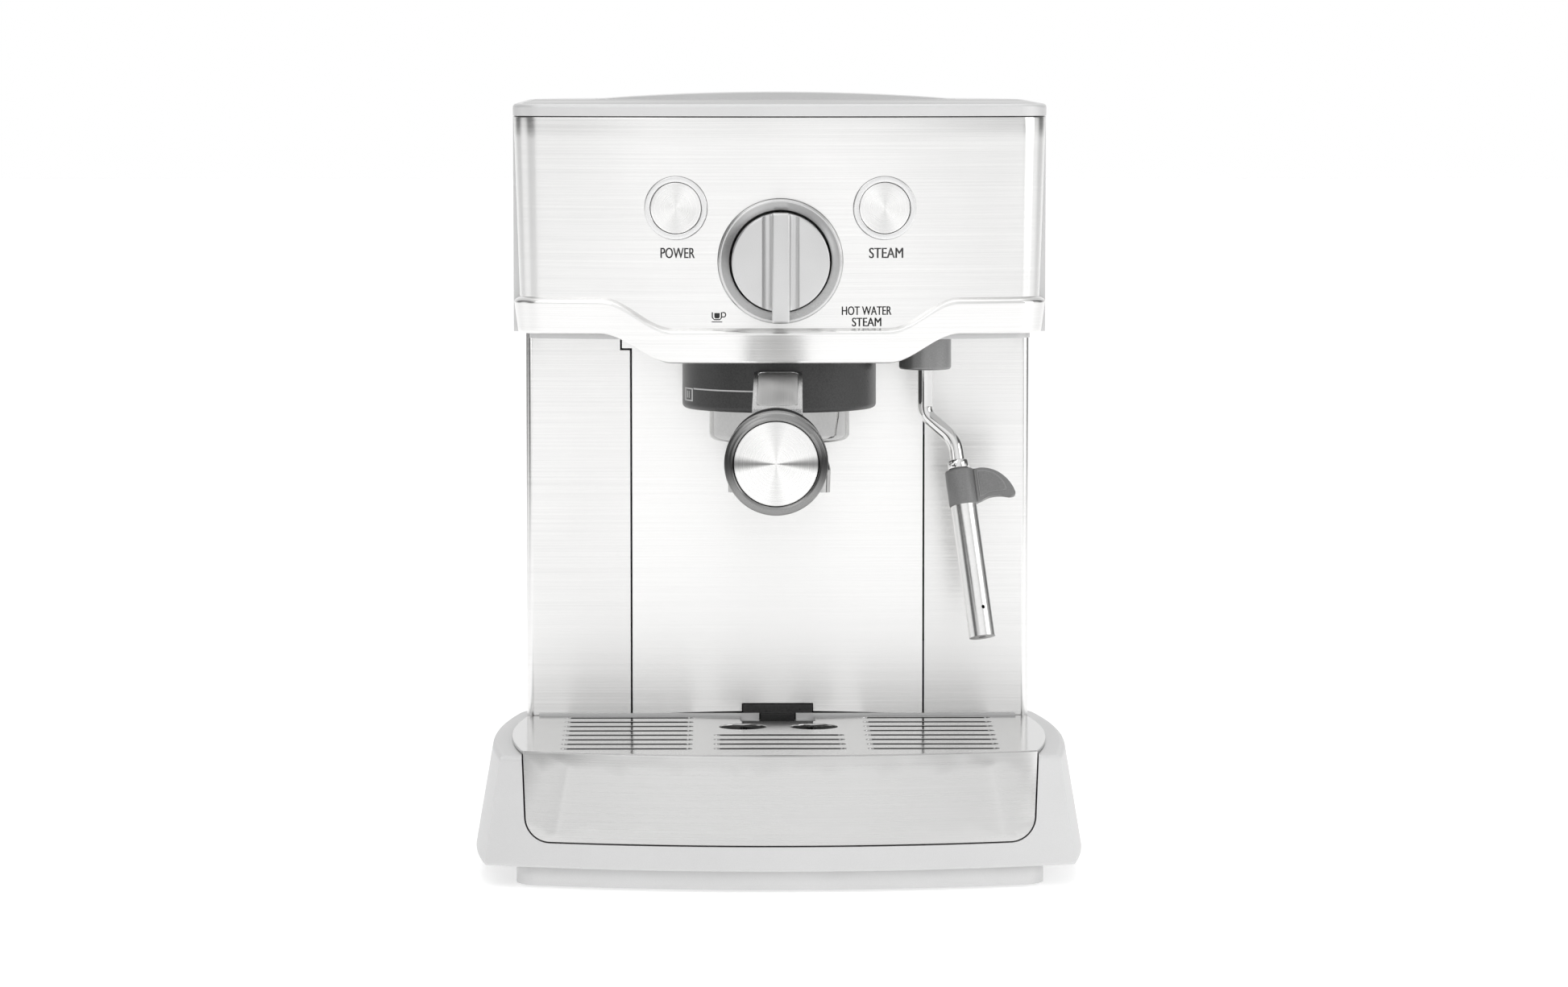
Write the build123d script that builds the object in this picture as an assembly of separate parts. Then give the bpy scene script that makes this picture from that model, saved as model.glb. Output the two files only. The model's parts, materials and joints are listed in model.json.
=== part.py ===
from build123d import *
import os
from math import atan2, cos, pi, sin, sqrt

# An espresso machine, in millimetres. +Z is up and the front faces -Y.
# The origin is on the worktop, under the middle of the machine's outer box.

# ---- Driving dimensions ----
HALF_DEPTH = 185.0  # from the middle to the back, and to the end of the filter holder's handle
DECK_TOP = 325.0  # height of the cup shelf
HEAD_HALF = 111.0  # half width of the head
COLUMN_HALF = 109.4  # half width of the column below the head
COLUMN_FRONT = 50.0  # Y of the splash panel
BASE_TOP = 55.2
BASE_BOTTOM = 9.0
PLINTH_HALF = 110.0
FRONT_RADIUS = 375.0  # the bow of every front, seen from above
HEAD_FRONT = -78.5  # Y of the head's front at its middle
TRAY_FRONT_TOP = -89.6  # Y of the drip tray's front, at its middle
TRAY_FRONT_BOTTOM = -91.4
HEAD_BOTTOM = 230.0
DECK_BOTTOM = 320.0
SEAM = 0.4  # the gap between neighbouring covers
WALL = 2.5
SHEET = 1.5  # thickness of the steel panels
GROUP_Y = -25.0  # the brew group's axis, at X = 0
WAND_X = 61.5  # the steam wand's swivel axis, at Y = GROUP_Y
KNOB_Z = 260.5
BUTTON_X = 43.0
BUTTON_Z = 282.3
FIT = 0.05  # radial clearance of a running fit
LOCKED = -1.0  # the filter holder's direction when locked, in degrees from straight ahead
UNLOCKED = -50.0  # its direction when its lugs meet the gaps in the collar

MID = Align.CENTER
LOW = Align.MIN


# ---- Shapes that repeat ----
def front_y(x, middle):
    """Y of a bowed front at X, when its middle is at Y = middle."""
    return middle + FRONT_RADIUS - sqrt(FRONT_RADIUS**2 - x**2)


def slab(x, y, z):
    """A block from three (low, high) pairs."""
    block = Box(x[1] - x[0], y[1] - y[0], z[1] - z[0], align=(LOW, LOW, LOW))
    return Pos(x[0], y[0], z[0]) * block


def post(x, y, z, radius):
    """An upright cylinder, z being (low, high)."""
    return Pos(x, y, z[0]) * Cylinder(radius, z[1] - z[0], align=(MID, MID, LOW))


def tube(x, y, z, outer, inner):
    return post(x, y, z, outer) - post(x, y, z, inner)


def rod(start, end, radius):
    """A cylinder between two points."""
    start, end = Vector(*start), Vector(*end)
    place = Plane(origin=start, z_dir=end - start)
    return place * Cylinder(radius, (end - start).length, align=(MID, MID, LOW))


def from_front(face, y):
    """A face drawn in X and Z, made solid over a (low, high) stretch of Y."""
    return extrude(Plane.XZ.offset(-y[1]) * face, amount=y[1] - y[0])


def from_side(face, x):
    """A face drawn in Y and Z, made solid over a (low, high) stretch of X."""
    return extrude(Plane.YZ.offset(x[0]) * face, amount=x[1] - x[0])


def plate(face, z):
    """A face drawn from above, made solid over a (low, high) stretch of Z."""
    return extrude(Pos(0, 0, z[0]) * face, amount=z[1] - z[0])


def polygon(*points):
    return make_face(Polyline(*points, close=True))


def mirrored(shape):
    return shape + mirror(shape, about=Plane.YZ)


def body_plan(half, front, back, front_round, rear_round, bow=8.0):
    """The outline of the head, column or plinth: bowed front, straight sides, round rear corners."""
    corner_y = front_y(half, front)
    edges = [
        ThreePointArc((-half, corner_y), (0, front), (half, corner_y)),
        Line((half, corner_y), (half, back - bow)),
        ThreePointArc((half, back - bow), (0, back), (-half, back - bow)),
        Line((-half, back - bow), (-half, corner_y)),
    ]
    face = make_face(edges)
    face = fillet(face.vertices().group_by(Axis.Y)[0], front_round)
    return fillet(face.vertices().group_by(Axis.Y)[-1], rear_round)


def head_plan(inset):
    return body_plan(
        HEAD_HALF - inset, HEAD_FRONT + inset, HALF_DEPTH - 1 - inset, 15.0 - inset, 66.0 - inset
    )


def between(outer, inner, z):
    return plate(outer, z) - plate(inner, z)


# ---- Base ----
BAY_HALF = 107.6
BAY_BACK = 51.0
BAY_FLOOR = 19.3


def base_outline(top, inset=0.0):
    """The base's flared outline, at its top or at its bottom edge."""
    if top:
        corner, widest, shoulder = (116.3, -70.5), (121.4, -8.0), (113.8, 80.0)
        neck, rear, front, back = (109.6, 90.0), (52.0, 182.2), TRAY_FRONT_TOP, HALF_DEPTH - 1
    else:
        corner, widest, shoulder = (123.2, -70.5), (129.4, 2.0), (122.4, 82.0)
        neck, rear, front, back = (118.5, 100.0), (60.0, 182.5), TRAY_FRONT_BOTTOM, HALF_DEPTH
    corner = (corner[0] - inset, corner[1] + inset)
    widest = (widest[0] - inset, widest[1])
    shoulder = (shoulder[0] - inset, shoulder[1])
    neck = (neck[0] - inset, neck[1])
    rear = (rear[0] - inset / 2, rear[1] - inset)

    def left(point):
        return (-point[0], point[1])

    return make_face(
        [
            ThreePointArc(left(corner), (0, front + inset), corner),
            ThreePointArc(corner, widest, shoulder),
            Line(shoulder, neck),
            TangentArc(neck, rear, tangent=(0, 1)),
            ThreePointArc(rear, (0, back - inset), left(rear)),
            TangentArc(left(neck), left(rear), tangent=(0, 1)),
            Line(left(shoulder), left(neck)),
            ThreePointArc(left(corner), left(widest), left(shoulder)),
        ]
    )


def plinth_plan(inset):
    return body_plan(PLINTH_HALF - inset, -87.5 + inset, 178 - inset, 12 - inset, 60 - inset)


def base_loft(inset, low, high):
    lower = Pos(0, 0, low) * base_outline(False, inset)
    upper = Pos(0, 0, high) * base_outline(True, inset)
    return loft([lower, upper], ruled=True)


def bay_front(gap):
    """The tray opening from the front: sides lean in towards round lower corners."""
    top, low = BAY_HALF - gap, BAY_HALF - 1.6 - gap
    face = polygon(
        (-top, BASE_TOP + 5), (top, BASE_TOP + 5), (low, BAY_FLOOR + gap), (-low, BAY_FLOOR + gap)
    )
    return fillet(face.vertices().group_by(Axis.Y)[0], 10.7 - gap)


FOOT_PLACES = [(-88, -52), (88, -52), (-84, 128), (84, 128)]
SCREW_PLACES = [(-70, -60), (70, -60), (-70, 108), (70, 108)]
SEAT = (0.0, 152.0)  # the water outlet under the tank
GLAND = (-58.0, 30.0)  # X and Z of the mains inlet in the back


def base_housing():
    shell = base_loft(0, BASE_BOTTOM, BASE_TOP)
    shell = fillet(shell.edges().group_by(Axis.Z)[-1], 2.5)
    shell = fillet(shell.edges().group_by(Axis.Z)[0], 1.0)
    cavity = base_loft(3.0, BASE_BOTTOM + 2.5, BASE_TOP - 3.0)
    cavity += plate(plinth_plan(6.0), (BASE_BOTTOM - 1, BASE_BOTTOM + 3))
    cavity -= slab((-BAY_HALF - 2.4, BAY_HALF + 2.4), (-110, BAY_BACK + 2.4), (BAY_FLOOR - 2.3, 60))
    shell -= cavity
    shell -= from_front(bay_front(0), (-110, BAY_BACK))
    shell -= slab((-62, 62), (60, 108), (BASE_TOP - 4, BASE_TOP + 1))
    shell -= post(*SEAT, (40, 60), 13.2)
    shell -= rod((GLAND[0], 170, GLAND[1]), (GLAND[0], 190, GLAND[1]), 7.0)
    for x, y in SCREW_PLACES:
        top = BAY_FLOOR - 2.3 if y < BAY_BACK else BASE_TOP - 3
        shell += tube(x, y, (BASE_BOTTOM, top), 4.5, 1.8)
    return shell


def base_plinth():
    tray = plate(plinth_plan(0), (1, BASE_BOTTOM)) - plate(plinth_plan(WALL), (4, 10))
    for x, y in FOOT_PLACES:
        tray -= post(x, y, (0, 2.5), 9.0)
    for x, y in SCREW_PLACES:
        tray -= post(x, y, (0, 2.8), 3.6) + post(x, y, (0, 9), 2.0)
    return tray


def rubber_feet():
    return [post(x, y, (0, 2.5), 9.0) for x, y in FOOT_PLACES]


def base_screws():
    screws = []
    for x, y in SCREW_PLACES:
        screw = post(x, y, (1.2, 2.8), 3.4) + post(x, y, (2.8, 15), 1.8)
        slot = slab((x - 2.6, x + 2.6), (y - 0.4, y + 0.4), (1.2, 1.9))
        screws.append(screw - slot)
    return screws


def cord_gland():
    x, z = GLAND
    back = HALF_DEPTH - 2.2
    return rod((x, back - 6, z), (x, back, z), 7.0) - rod((x, back - 7, z), (x, back + 1, z), 3.6)


# ---- Drip tray ----
GRATE_TOP = 57.1
GRATE_THICK = 1.5
GRATE_BACK = 47.8
SPOUT_HALF = 15.2
TRAY_HALF = 106.3


def tray_plan(half, front, back):
    corner_y = front_y(half, front)
    return make_face(
        [
            ThreePointArc((-half, corner_y), (0, front), (half, corner_y)),
            Line((half, corner_y), (half, back)),
            Line((half, back), (-half, back)),
            Line((-half, back), (-half, corner_y)),
        ]
    )


def drip_tray():
    """An open plastic basin. Two rails on its rear wall close the gap under the splash panel."""
    front = TRAY_FRONT_TOP + SHEET + 1.9
    top = GRATE_TOP - GRATE_THICK - 0.05
    basin = plate(tray_plan(TRAY_HALF, front, 48), (BAY_FLOOR, top))
    basin &= from_front(bay_front(1.2), (-110, 60))
    hollow = plate(tray_plan(TRAY_HALF - 4.4, front + 2.2, 45.8), (BAY_FLOOR + 3.0, 60))
    hollow = fillet(hollow.edges().group_by(Axis.Z)[0], 3.0)
    basin -= hollow
    rail = slab((8, 104), (45.8, 49.6), (52, BASE_TOP)) + slab((8, 104), (48.1, 49.6), (BASE_TOP, 58.2))
    basin += mirrored(rail)
    basin -= slab((-SPOUT_HALF - 0.8, SPOUT_HALF + 0.8), (40, 50), (49, BASE_TOP - 0.2))
    return basin - slab((-8, 8), (40, 50), (49, top + 1))


def drip_tray_front():
    """The curved steel skin on the front of the tray."""
    gap = 0.7
    lean = TRAY_FRONT_TOP - TRAY_FRONT_BOTTOM
    low = Pos(0, 0, BAY_FLOOR) * tray_plan(BAY_HALF, TRAY_FRONT_BOTTOM + 0.2 * lean, 0)
    high = Pos(0, 0, GRATE_TOP - 0.3) * tray_plan(BAY_HALF, TRAY_FRONT_TOP, 0)
    outer = loft([low, high], ruled=True)
    inner = plate(tray_plan(BAY_HALF + 1, TRAY_FRONT_TOP + SHEET + 0.4, 1), (10, 70))
    skin = (outer - inner) & from_front(bay_front(gap), (-110, 0))
    backing = plate(tray_plan(TRAY_HALF - 3, TRAY_FRONT_TOP + SHEET + 0.4, 10), (24, 49))
    backing -= plate(tray_plan(TRAY_HALF, TRAY_FRONT_TOP + SHEET + 1.9, 20), (20, 60))
    return skin + backing


def grate_outline(inset):
    front = TRAY_FRONT_TOP + SHEET + 0.8 + inset
    corner = (BAY_HALF - 0.8 - inset, front_y(BAY_HALF - 0.8, front))
    widest, back = (113.2 - inset, 6.0), (109.0 - inset, GRATE_BACK - inset)

    def left(point):
        return (-point[0], point[1])

    return make_face(
        [
            ThreePointArc(left(corner), (0, front), corner),
            ThreePointArc(corner, widest, back),
            Line(back, left(back)),
            ThreePointArc(left(back), left(widest), left(corner)),
        ]
    )


def drip_grate():
    """A lens-shaped steel plate with three groups of slots and two finger holes."""
    low = GRATE_TOP - GRATE_THICK
    rows, pitch, slot_width = 8, 15.15, 5.2
    first_row = 41.0
    grate = plate(grate_outline(0), (low, GRATE_TOP))
    skirt = tray_plan(TRAY_HALF - 5.2, TRAY_FRONT_TOP + SHEET + 5.5, 44.5)
    skirt_inner = tray_plan(TRAY_HALF - 6.4, TRAY_FRONT_TOP + SHEET + 6.7, 43.3)
    grate += between(skirt, skirt_inner, (low - 5, low))
    cuts = []
    for row in range(rows):
        y = first_row - pitch * row
        start, end = 36.5, 92.6 - 0.15 * row
        for side in (-1, 1):
            middle = side * (start + end) / 2
            cuts.append(Pos(middle, y) * SlotOverall(end - start, slot_width))
        if row >= rows - 4:
            cuts.append(Pos(0, y) * SlotOverall(55.5, slot_width))
    for x in (-15.3, 15.3):
        cuts.append(Pos(x, 9.5) * Circle(10.2))
    cuts.append(Pos(0, 47) * Rectangle(2 * SPOUT_HALF + 1.8, 36))
    for cut in cuts:
        grate -= plate(cut, (low - 6, GRATE_TOP + 1))
    return grate


def drain_spout():
    """Leads stray water from the group to the tray, under the tray's rear rails."""
    block = slab((-SPOUT_HALF, SPOUT_HALF), (COLUMN_FRONT - 0.3, 54.5), (BASE_TOP + 0.2, 62.0))
    tongue = slab((-SPOUT_HALF, SPOUT_HALF), (31.5, 50.9), (50.5, 54.2))
    channel = slab((-SPOUT_HALF + 2, SPOUT_HALF - 2), (30, 49), (52.2, 56))
    bridge = slab((-7.2, 7.2), (46, 50), (50.5, 58.2))
    return block + tongue - channel + bridge


# ---- Column ----
def side_panel():
    """The right-hand steel pillar, which wraps round to the side."""
    x0, x1 = 64.0, COLUMN_HALF
    y0, y1 = COLUMN_FRONT, 114.6
    outer = polygon((x0, y0), (x1, y0), (x1, y1), (x0, y1))
    outer = fillet(outer.vertices().sort_by(Axis.X)[-2:].sort_by(Axis.Y)[0], 3.0)
    profile = outer - Pos(-SHEET, SHEET) * outer
    profile += Pos(x0 + SHEET / 2, y0 + 4) * Rectangle(SHEET, 8)
    profile += Pos(x1 - 5, y1 - SHEET / 2) * Rectangle(10, SHEET)
    return plate(profile, (BASE_TOP + SEAM, HEAD_BOTTOM - SEAM))


JOG = (-68.3, 217.0)  # X and Z of the step at the top of the left seam


def left_side_panel():
    panel = mirror(side_panel(), about=Plane.YZ)
    return panel - slab((JOG[0], -60), (45, 60), (JOG[1], HEAD_BOTTOM))


def right_side_panel():
    return side_panel()


def splash_back():
    """The steel splash panel. Its lower edge is arched over the tray's rails."""
    half, top = 63.3, HEAD_BOTTOM - SEAM
    low, arch = 57.3, 58.9
    face = make_face(
        [
            ThreePointArc((-half, low), (0, arch), (half, low)),
            Line((half, low), (half, top)),
            Line((half, top), (-half, top)),
            Line((-half, top), (-half, low)),
        ]
    )
    panel = from_front(face, (COLUMN_FRONT, COLUMN_FRONT + SHEET))
    jog = slab((JOG[0] + 0.7, -half + 1), (COLUMN_FRONT, COLUMN_FRONT + SHEET), (JOG[1] + 0.7, top))
    slot = slab((-SPOUT_HALF - 0.3, SPOUT_HALF + 0.3), (45, 60), (50, 62.3))
    return panel + jog - slot


def rear_cover():
    """The column's rounded back."""
    outer = body_plan(COLUMN_HALF, HEAD_FRONT, HALF_DEPTH - 1.6, 15, 66)
    inner = body_plan(COLUMN_HALF - WALL, HEAD_FRONT, HALF_DEPTH - 1.6 - WALL, 15, 66 - WALL)
    shell = between(outer, inner, (BASE_TOP + SEAM, HEAD_BOTTOM - SEAM))
    shell &= slab((-120, 120), (114.6 + SEAM, 190), (50, 240))
    vents = [slab((-32, 32), (170, 190), (78 + 7 * i, 81 + 7 * i)) for i in range(6)]
    for vent in vents:
        shell -= vent
    return shell


def inner_chassis():
    """A folded steel bracket: a shelf over the column, and the wall in front of the tank."""
    wall = slab((-98, 98), (112, 113.5), (BASE_TOP, 236.5))
    shelf = slab((-98, 98), (-40, 112), (235, 236.5))
    front_edge = slab((-60, 60), (-60, -40), (235, 236.5))
    frame = wall + shelf + front_edge
    frame -= post(0, GROUP_Y, (230, 240), 32.4)
    frame -= post(WAND_X, GROUP_Y, (230, 240), 8.0)
    frame -= slab((-60, 60), (60, 100), (230, 240))
    frame -= slab((-8, 8), (110, 115), (50, 66))
    return frame


# ---- Head ----
CREASE = (244.0, 231.6)  # height of the crease at the sides and in the middle
LIP_EDGE = (230.0, 218.2)  # height of the lower edge, likewise
S_BEND = (45.0, 74.0)  # X over which both change height
FASCIA_BACK = -44.0
FASCIA_LEAN = 2.9  # how far the fascia leans in from its top to the crease


def under_curve(heights, floor=150.0):
    """The region under the S-shaped line, drawn from the front."""
    side, middle = heights
    inner, outer = S_BEND
    pull = 0.5 * (outer - inner)
    rise = Bezier((inner, middle), (inner + pull, middle), (outer - pull, side), (outer, side))
    fall = Bezier((-outer, side), (-outer + pull, side), (-inner - pull, middle), (-inner, middle))
    return make_face(
        [
            Line((-140, side), (-outer, side)),
            fall,
            Line((-inner, middle), (inner, middle)),
            rise,
            Line((outer, side), (140, side)),
            Line((140, side), (140, floor)),
            Line((140, floor), (-140, floor)),
            Line((-140, floor), (-140, side)),
        ]
    )


def front_wrap(high, low, thickness):
    """The front part of the head's skin between two (height, inset) outlines."""
    outer = loft([Pos(0, 0, high[0]) * head_plan(high[1]), Pos(0, 0, low[0]) * head_plan(low[1])], ruled=True)
    above, below = high[0] + 0.01, low[0] - 0.01
    inner = loft(
        [
            Pos(0, 0, above) * head_plan(high[1] + thickness),
            Pos(0, 0, below) * head_plan(low[1] + thickness),
        ],
        ruled=True,
    )
    return (outer - inner) & slab((-130, 130), (-120, FASCIA_BACK), (200, 330))


def button_axis(side):
    """The point where a button's axis meets the fascia, and the outward direction there."""
    x = side * BUTTON_X
    lean = FASCIA_LEAN * (DECK_BOTTOM - BUTTON_Z) / (DECK_BOTTOM - CREASE[1])
    y = front_y(x, HEAD_FRONT + 0.5 + lean)
    angle = atan2(BUTTON_X, FRONT_RADIUS)
    return Vector(x, y, BUTTON_Z), Vector(side * sin(angle), -cos(angle), 0)


def button_rod(side, outward, inward, radius):
    """A cylinder on a button's axis, from inward to outward of the fascia's surface."""
    point, normal = button_axis(side)
    return rod(point - normal * inward, point + normal * outward, radius)


def front_fascia():
    """The brushed steel front: a panel that leans in, and a flared lip with an S-shaped crease."""
    waist = 0.5 + FASCIA_LEAN
    panel = front_wrap((DECK_BOTTOM - SEAM, 0.5), (LIP_EDGE[1], waist + 0.4), 1.8)
    panel -= from_front(under_curve(CREASE), (-120, 0))
    lip = front_wrap((CREASE[0] + 2, waist), (LIP_EDGE[1], 0.5), 4.6)
    lip &= from_front(under_curve(CREASE), (-120, 0))
    lip -= from_front(under_curve(LIP_EDGE), (-120, 0))
    skin = panel + lip
    skin -= rod((0, -100, KNOB_Z), (0, -40, KNOB_Z), 25.9)
    for side in (-1, 1):
        skin -= button_rod(side, 10, 20, 13.2)
    return skin


def head_housing():
    """The head's moulded shell: side cheeks, back, and a nose that carries the fascia."""
    z = (HEAD_BOTTOM, DECK_BOTTOM - SEAM)
    ring = between(head_plan(0), head_plan(WALL), z)
    ring &= slab((-130, 130), (FASCIA_BACK + SEAM, 190), (200, 330))
    nose = between(head_plan(8.4), head_plan(10.4), (HEAD_BOTTOM + 1, z[1]))
    nose &= slab((-130, 130), (-120, FASCIA_BACK + SEAM + 4), (200, 330))
    web = slab((100, HEAD_HALF - 1), (FASCIA_BACK + SEAM, FASCIA_BACK + SEAM + 2), z)
    shell = ring + nose + mirrored(web)
    shell -= rod((0, -100, KNOB_Z), (0, -45, KNOB_Z), 26.2)
    for side in (-1, 1):
        shell -= button_rod(side, 5, 20, 13.2)
    return shell


def head_underside():
    """The moulded cover under the head, with holes for the brew group and the steam socket."""
    face = head_plan(6.8) & Pos(0, -20) * Rectangle(300, 2 * (COLUMN_FRONT + 20) - 2)
    cover = plate(face, (HEAD_BOTTOM - 2.2, HEAD_BOTTOM - 0.2))
    cover -= slab((-130, 130), (FASCIA_BACK, 60), (200, 240)) - plate(head_plan(3.2), (200, 240))
    cover -= post(0, GROUP_Y, (220, 240), 41.2) + post(WAND_X, GROUP_Y, (220, 240), 11.2)
    return cover


LID_FRONT, LID_BACK, LID_HALF = 120.0, 181.0, 80.0
LID_LOW = 322.0
LID_HINGE = (177.5, 323.5)  # Y and Z of the lid's hinge
EAR = (44.0, 48.0)  # X of the two hinge ears on the tank


def lid_plan(grow):
    half, front, back = LID_HALF + grow, LID_FRONT - grow, LID_BACK + grow
    face = make_face(
        [
            Line((-half, front), (half, front)),
            Line((half, front), (half, back - 5)),
            ThreePointArc((half, back - 5), (0, back), (-half, back - 5)),
            Line((-half, back - 5), (-half, front)),
        ]
    )
    face = fillet(face.vertices().group_by(Axis.Y)[0], 5 + grow)
    return fillet(face.vertices().group_by(Axis.Y)[-1], 40 + grow)


def top_deck():
    """The frame on top: a recess for the cup plate, and the tank bay's mouth, wider where the lid turns."""
    deck = plate(head_plan(0.2), (DECK_BOTTOM, DECK_TOP))
    deck = fillet(deck.edges().group_by(Axis.Z)[-1], 1.6)
    hollow = plate(head_plan(5.0), (DECK_BOTTOM - 1, DECK_TOP - 2.5))
    deck -= hollow & slab((-130, 130), (-120, 114), (300, 330))
    deck -= cup_plate_shape(0.15)
    deck -= plate(lid_plan(0.5), (310, 330))
    return deck - mirrored(slab((EAR[1], 58.7), (170, 179.65), (310, 330)))


def cup_plate_shape(grow):
    face = head_plan(4.2 - grow) & Pos(0, 14) * Rectangle(300, 2 * (100 + grow))
    return plate(face, (DECK_TOP - 1.0 - grow, DECK_TOP))


def cup_plate():
    return cup_plate_shape(0)


def hinge_rod(x, radius):
    """A cylinder on the lid's hinge line, on both sides of the machine."""
    y, z = LID_HINGE
    return mirrored(rod((x[0], y, z), (x[1], y, z), radius))


def tank_lid():
    """The domed lid over the water tank, notched for the tank's hinge ears."""
    lid = plate(lid_plan(0), (LID_LOW, DECK_TOP))
    dome_radius = (LID_HALF**2 + 3.0**2) / (2 * 3.0)
    dome = Pos(0, 0, DECK_TOP + 3.0 - dome_radius) * Rot(90, 0, 0) * Cylinder(dome_radius, 500)
    crown = plate(lid_plan(-0.6), (DECK_TOP, DECK_TOP + 4)) & dome
    lid += crown & slab((-90, 90), (100, LID_HINGE[0] - 6), (320, 330))
    lid -= slab((-14, 14), (LID_FRONT - 1, LID_FRONT + 5), (LID_LOW - 1, LID_LOW + 1.8))
    notch = slab((EAR[0] - 0.4, EAR[1] + 0.4), (LID_HINGE[0] - 3.0, 190), (LID_LOW - 1, 330))
    return lid - mirrored(notch) - hinge_rod((EAR[0] - 3, EAR[1] + 3), 0.75)


def lid_hinge_pins():
    return hinge_rod((EAR[0] - 3, EAR[1] + 3), 0.75)


# ---- Controls ----
def knob_bezel():
    """The dished ring round the selector."""
    ring = rod((0, -81.0, KNOB_Z), (0, -68, KNOB_Z), 25.7)
    front = ring.edges().group_by(Axis.Y)[0]
    ring = chamfer(front, 3.6, 1.6)
    return ring - rod((0, -90, KNOB_Z), (0, -60, KNOB_Z), 21.0)


KNOB_FACE = -91.0


def selector_knob():
    """A flat disc with a raised grip bar that overhangs it at the pointer end."""
    disc = rod((0, KNOB_FACE, KNOB_Z), (0, -74, KNOB_Z), 20.1)
    disc = fillet(disc.edges().group_by(Axis.Y)[0], 0.8)
    coves = slab((-7.6, 7.6), (KNOB_FACE - 1, KNOB_FACE + 1.6), (KNOB_Z - 30, KNOB_Z + 30))
    disc -= coves & rod((0, -95, KNOB_Z), (0, -80, KNOB_Z), 25)
    bar = slab((-3.6, 3.6), (KNOB_FACE - 7.5, KNOB_FACE + 3), (KNOB_Z - 24.5, KNOB_Z + 20.4))
    bar = fillet(bar.edges().group_by(Axis.Y)[0], 0.9)
    bar -= slab((-4, 4), (KNOB_FACE + 2.9, KNOB_FACE + 5), (KNOB_Z - 25, KNOB_Z - 20))
    return disc + bar


def knob_shaft():
    return rod((0, -74, KNOB_Z), (0, -50, KNOB_Z), 3.0)


def steam_valve():
    """The valve that the selector turns."""
    block = slab((-15, 15), (-66, -44), (KNOB_Z - 12, KNOB_Z + 12))
    block += rod((0, -55, KNOB_Z + 11), (0, -55, KNOB_Z + 17), 4.0)
    return block - rod((0, -70, KNOB_Z), (0, -49, KNOB_Z), 3.0 + FIT)


def button_ring(side):
    return button_rod(side, 0.9, 9, 13.0) - button_rod(side, 5, 12, 10.5)


def button_cap(side):
    cap = button_rod(side, 0.6, 4.4, 10.25)
    stem = button_rod(side, -4.4, 14, 2.5)
    return cap + stem


def push_switch(side):
    """The switch body behind a button, bored for the button's stem."""
    point, normal = button_axis(side)
    place = Plane(origin=point - normal * 9.2, x_dir=(-normal.Y, normal.X, 0), z_dir=-normal)
    body = place * Box(16, 18, 16, align=(MID, MID, LOW))
    return body - button_rod(side, 0, 17, 2.5 + FIT)


# ---- Brew group ----
COLLAR_LOW = 197.0


def group_collar():
    """The black collar. Its inner lip carries the filter holder's lugs, with two entry gaps."""
    collar = post(0, GROUP_Y, (COLLAR_LOW, HEAD_BOTTOM + 4.9), 40.8)
    collar = fillet(collar.edges().group_by(Axis.Z)[0], 2.0)
    collar -= post(0, GROUP_Y, (COLLAR_LOW - 1, COLLAR_LOW + 5), 32.6)
    collar -= post(0, GROUP_Y, (COLLAR_LOW + 3.0, 240), 36.6)
    for angle in (0, 180):
        gap = slab((30, 36.6), (-8, 8), (COLLAR_LOW - 1, COLLAR_LOW + 5))
        collar -= Pos(0, GROUP_Y, 0) * Rot(0, 0, angle + UNLOCKED) * gap
    return collar


def group_head():
    """The brew head's metal disc, with a neck up to the heater."""
    head = post(0, GROUP_Y, (216.4, 234.8), 36.4) + post(0, GROUP_Y, (234.8, 246), 32.0)
    return head - post(0, GROUP_Y, (216, 247), 3.0)


def group_gasket():
    return tube(0, GROUP_Y, (211.2, 216.4), 31.0, 25.0)


def shower_screen():
    """The perforated disc that spreads the water."""
    screen = post(0, GROUP_Y, (213.6, 214.6), 24.5) + tube(0, GROUP_Y, (213.6, 216.4), 24.5, 23.3)
    for ring, count in ((9.5, 8), (15.0, 12), (20.0, 16)):
        for i in range(count):
            turn = 2 * pi * i / count
            screen -= post(ring * cos(turn), GROUP_Y + ring * sin(turn), (213, 215), 0.9)
    return screen - post(0, GROUP_Y, (213, 217), 2.5)


def shower_screw():
    return post(0, GROUP_Y, (211.8, 213.6), 4.5) + post(0, GROUP_Y, (213.6, 216.4), 2.5)


# ---- Filter holder ----
BOWL_LOW = 183.2
BOWL_RADIUS = 29.6
END_RING_Z = 184.9
HANDLE_TIP = -HALF_DEPTH + 0.29
RING_BACK = -173.5


def locked(shape):
    """A solid of the filter holder, drawn straight ahead, turned to where it locks."""
    return Pos(0, GROUP_Y, 0) * Rot(0, 0, LOCKED) * Pos(0, -GROUP_Y, 0) * shape


def filter_holder_bowl():
    bowl = post(0, GROUP_Y, (BOWL_LOW, 199.0), BOWL_RADIUS)
    bowl = fillet(bowl.edges().group_by(Axis.Z)[0], 3.0)
    bowl += post(0, GROUP_Y, (199.0, 210.0), 31.2)
    for side in (0, 180):
        lug = slab((30, 35.8), (-7, 7), (200.2, 204.6))
        bowl += Pos(0, GROUP_Y, 0) * Rot(0, 0, side) * lug
    bowl -= post(0, GROUP_Y, (BOWL_LOW + 3, 211), 25.8)
    return bowl - post(0, GROUP_Y, (BOWL_LOW - 1, BOWL_LOW + 4), 4.0)


def filter_basket():
    cup = post(0, GROUP_Y, (189.6, 211.0), 25.4) + post(0, GROUP_Y, (210.0, 211.0), 29.5)
    return cup - post(0, GROUP_Y, (190.4, 212), 24.6)


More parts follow.
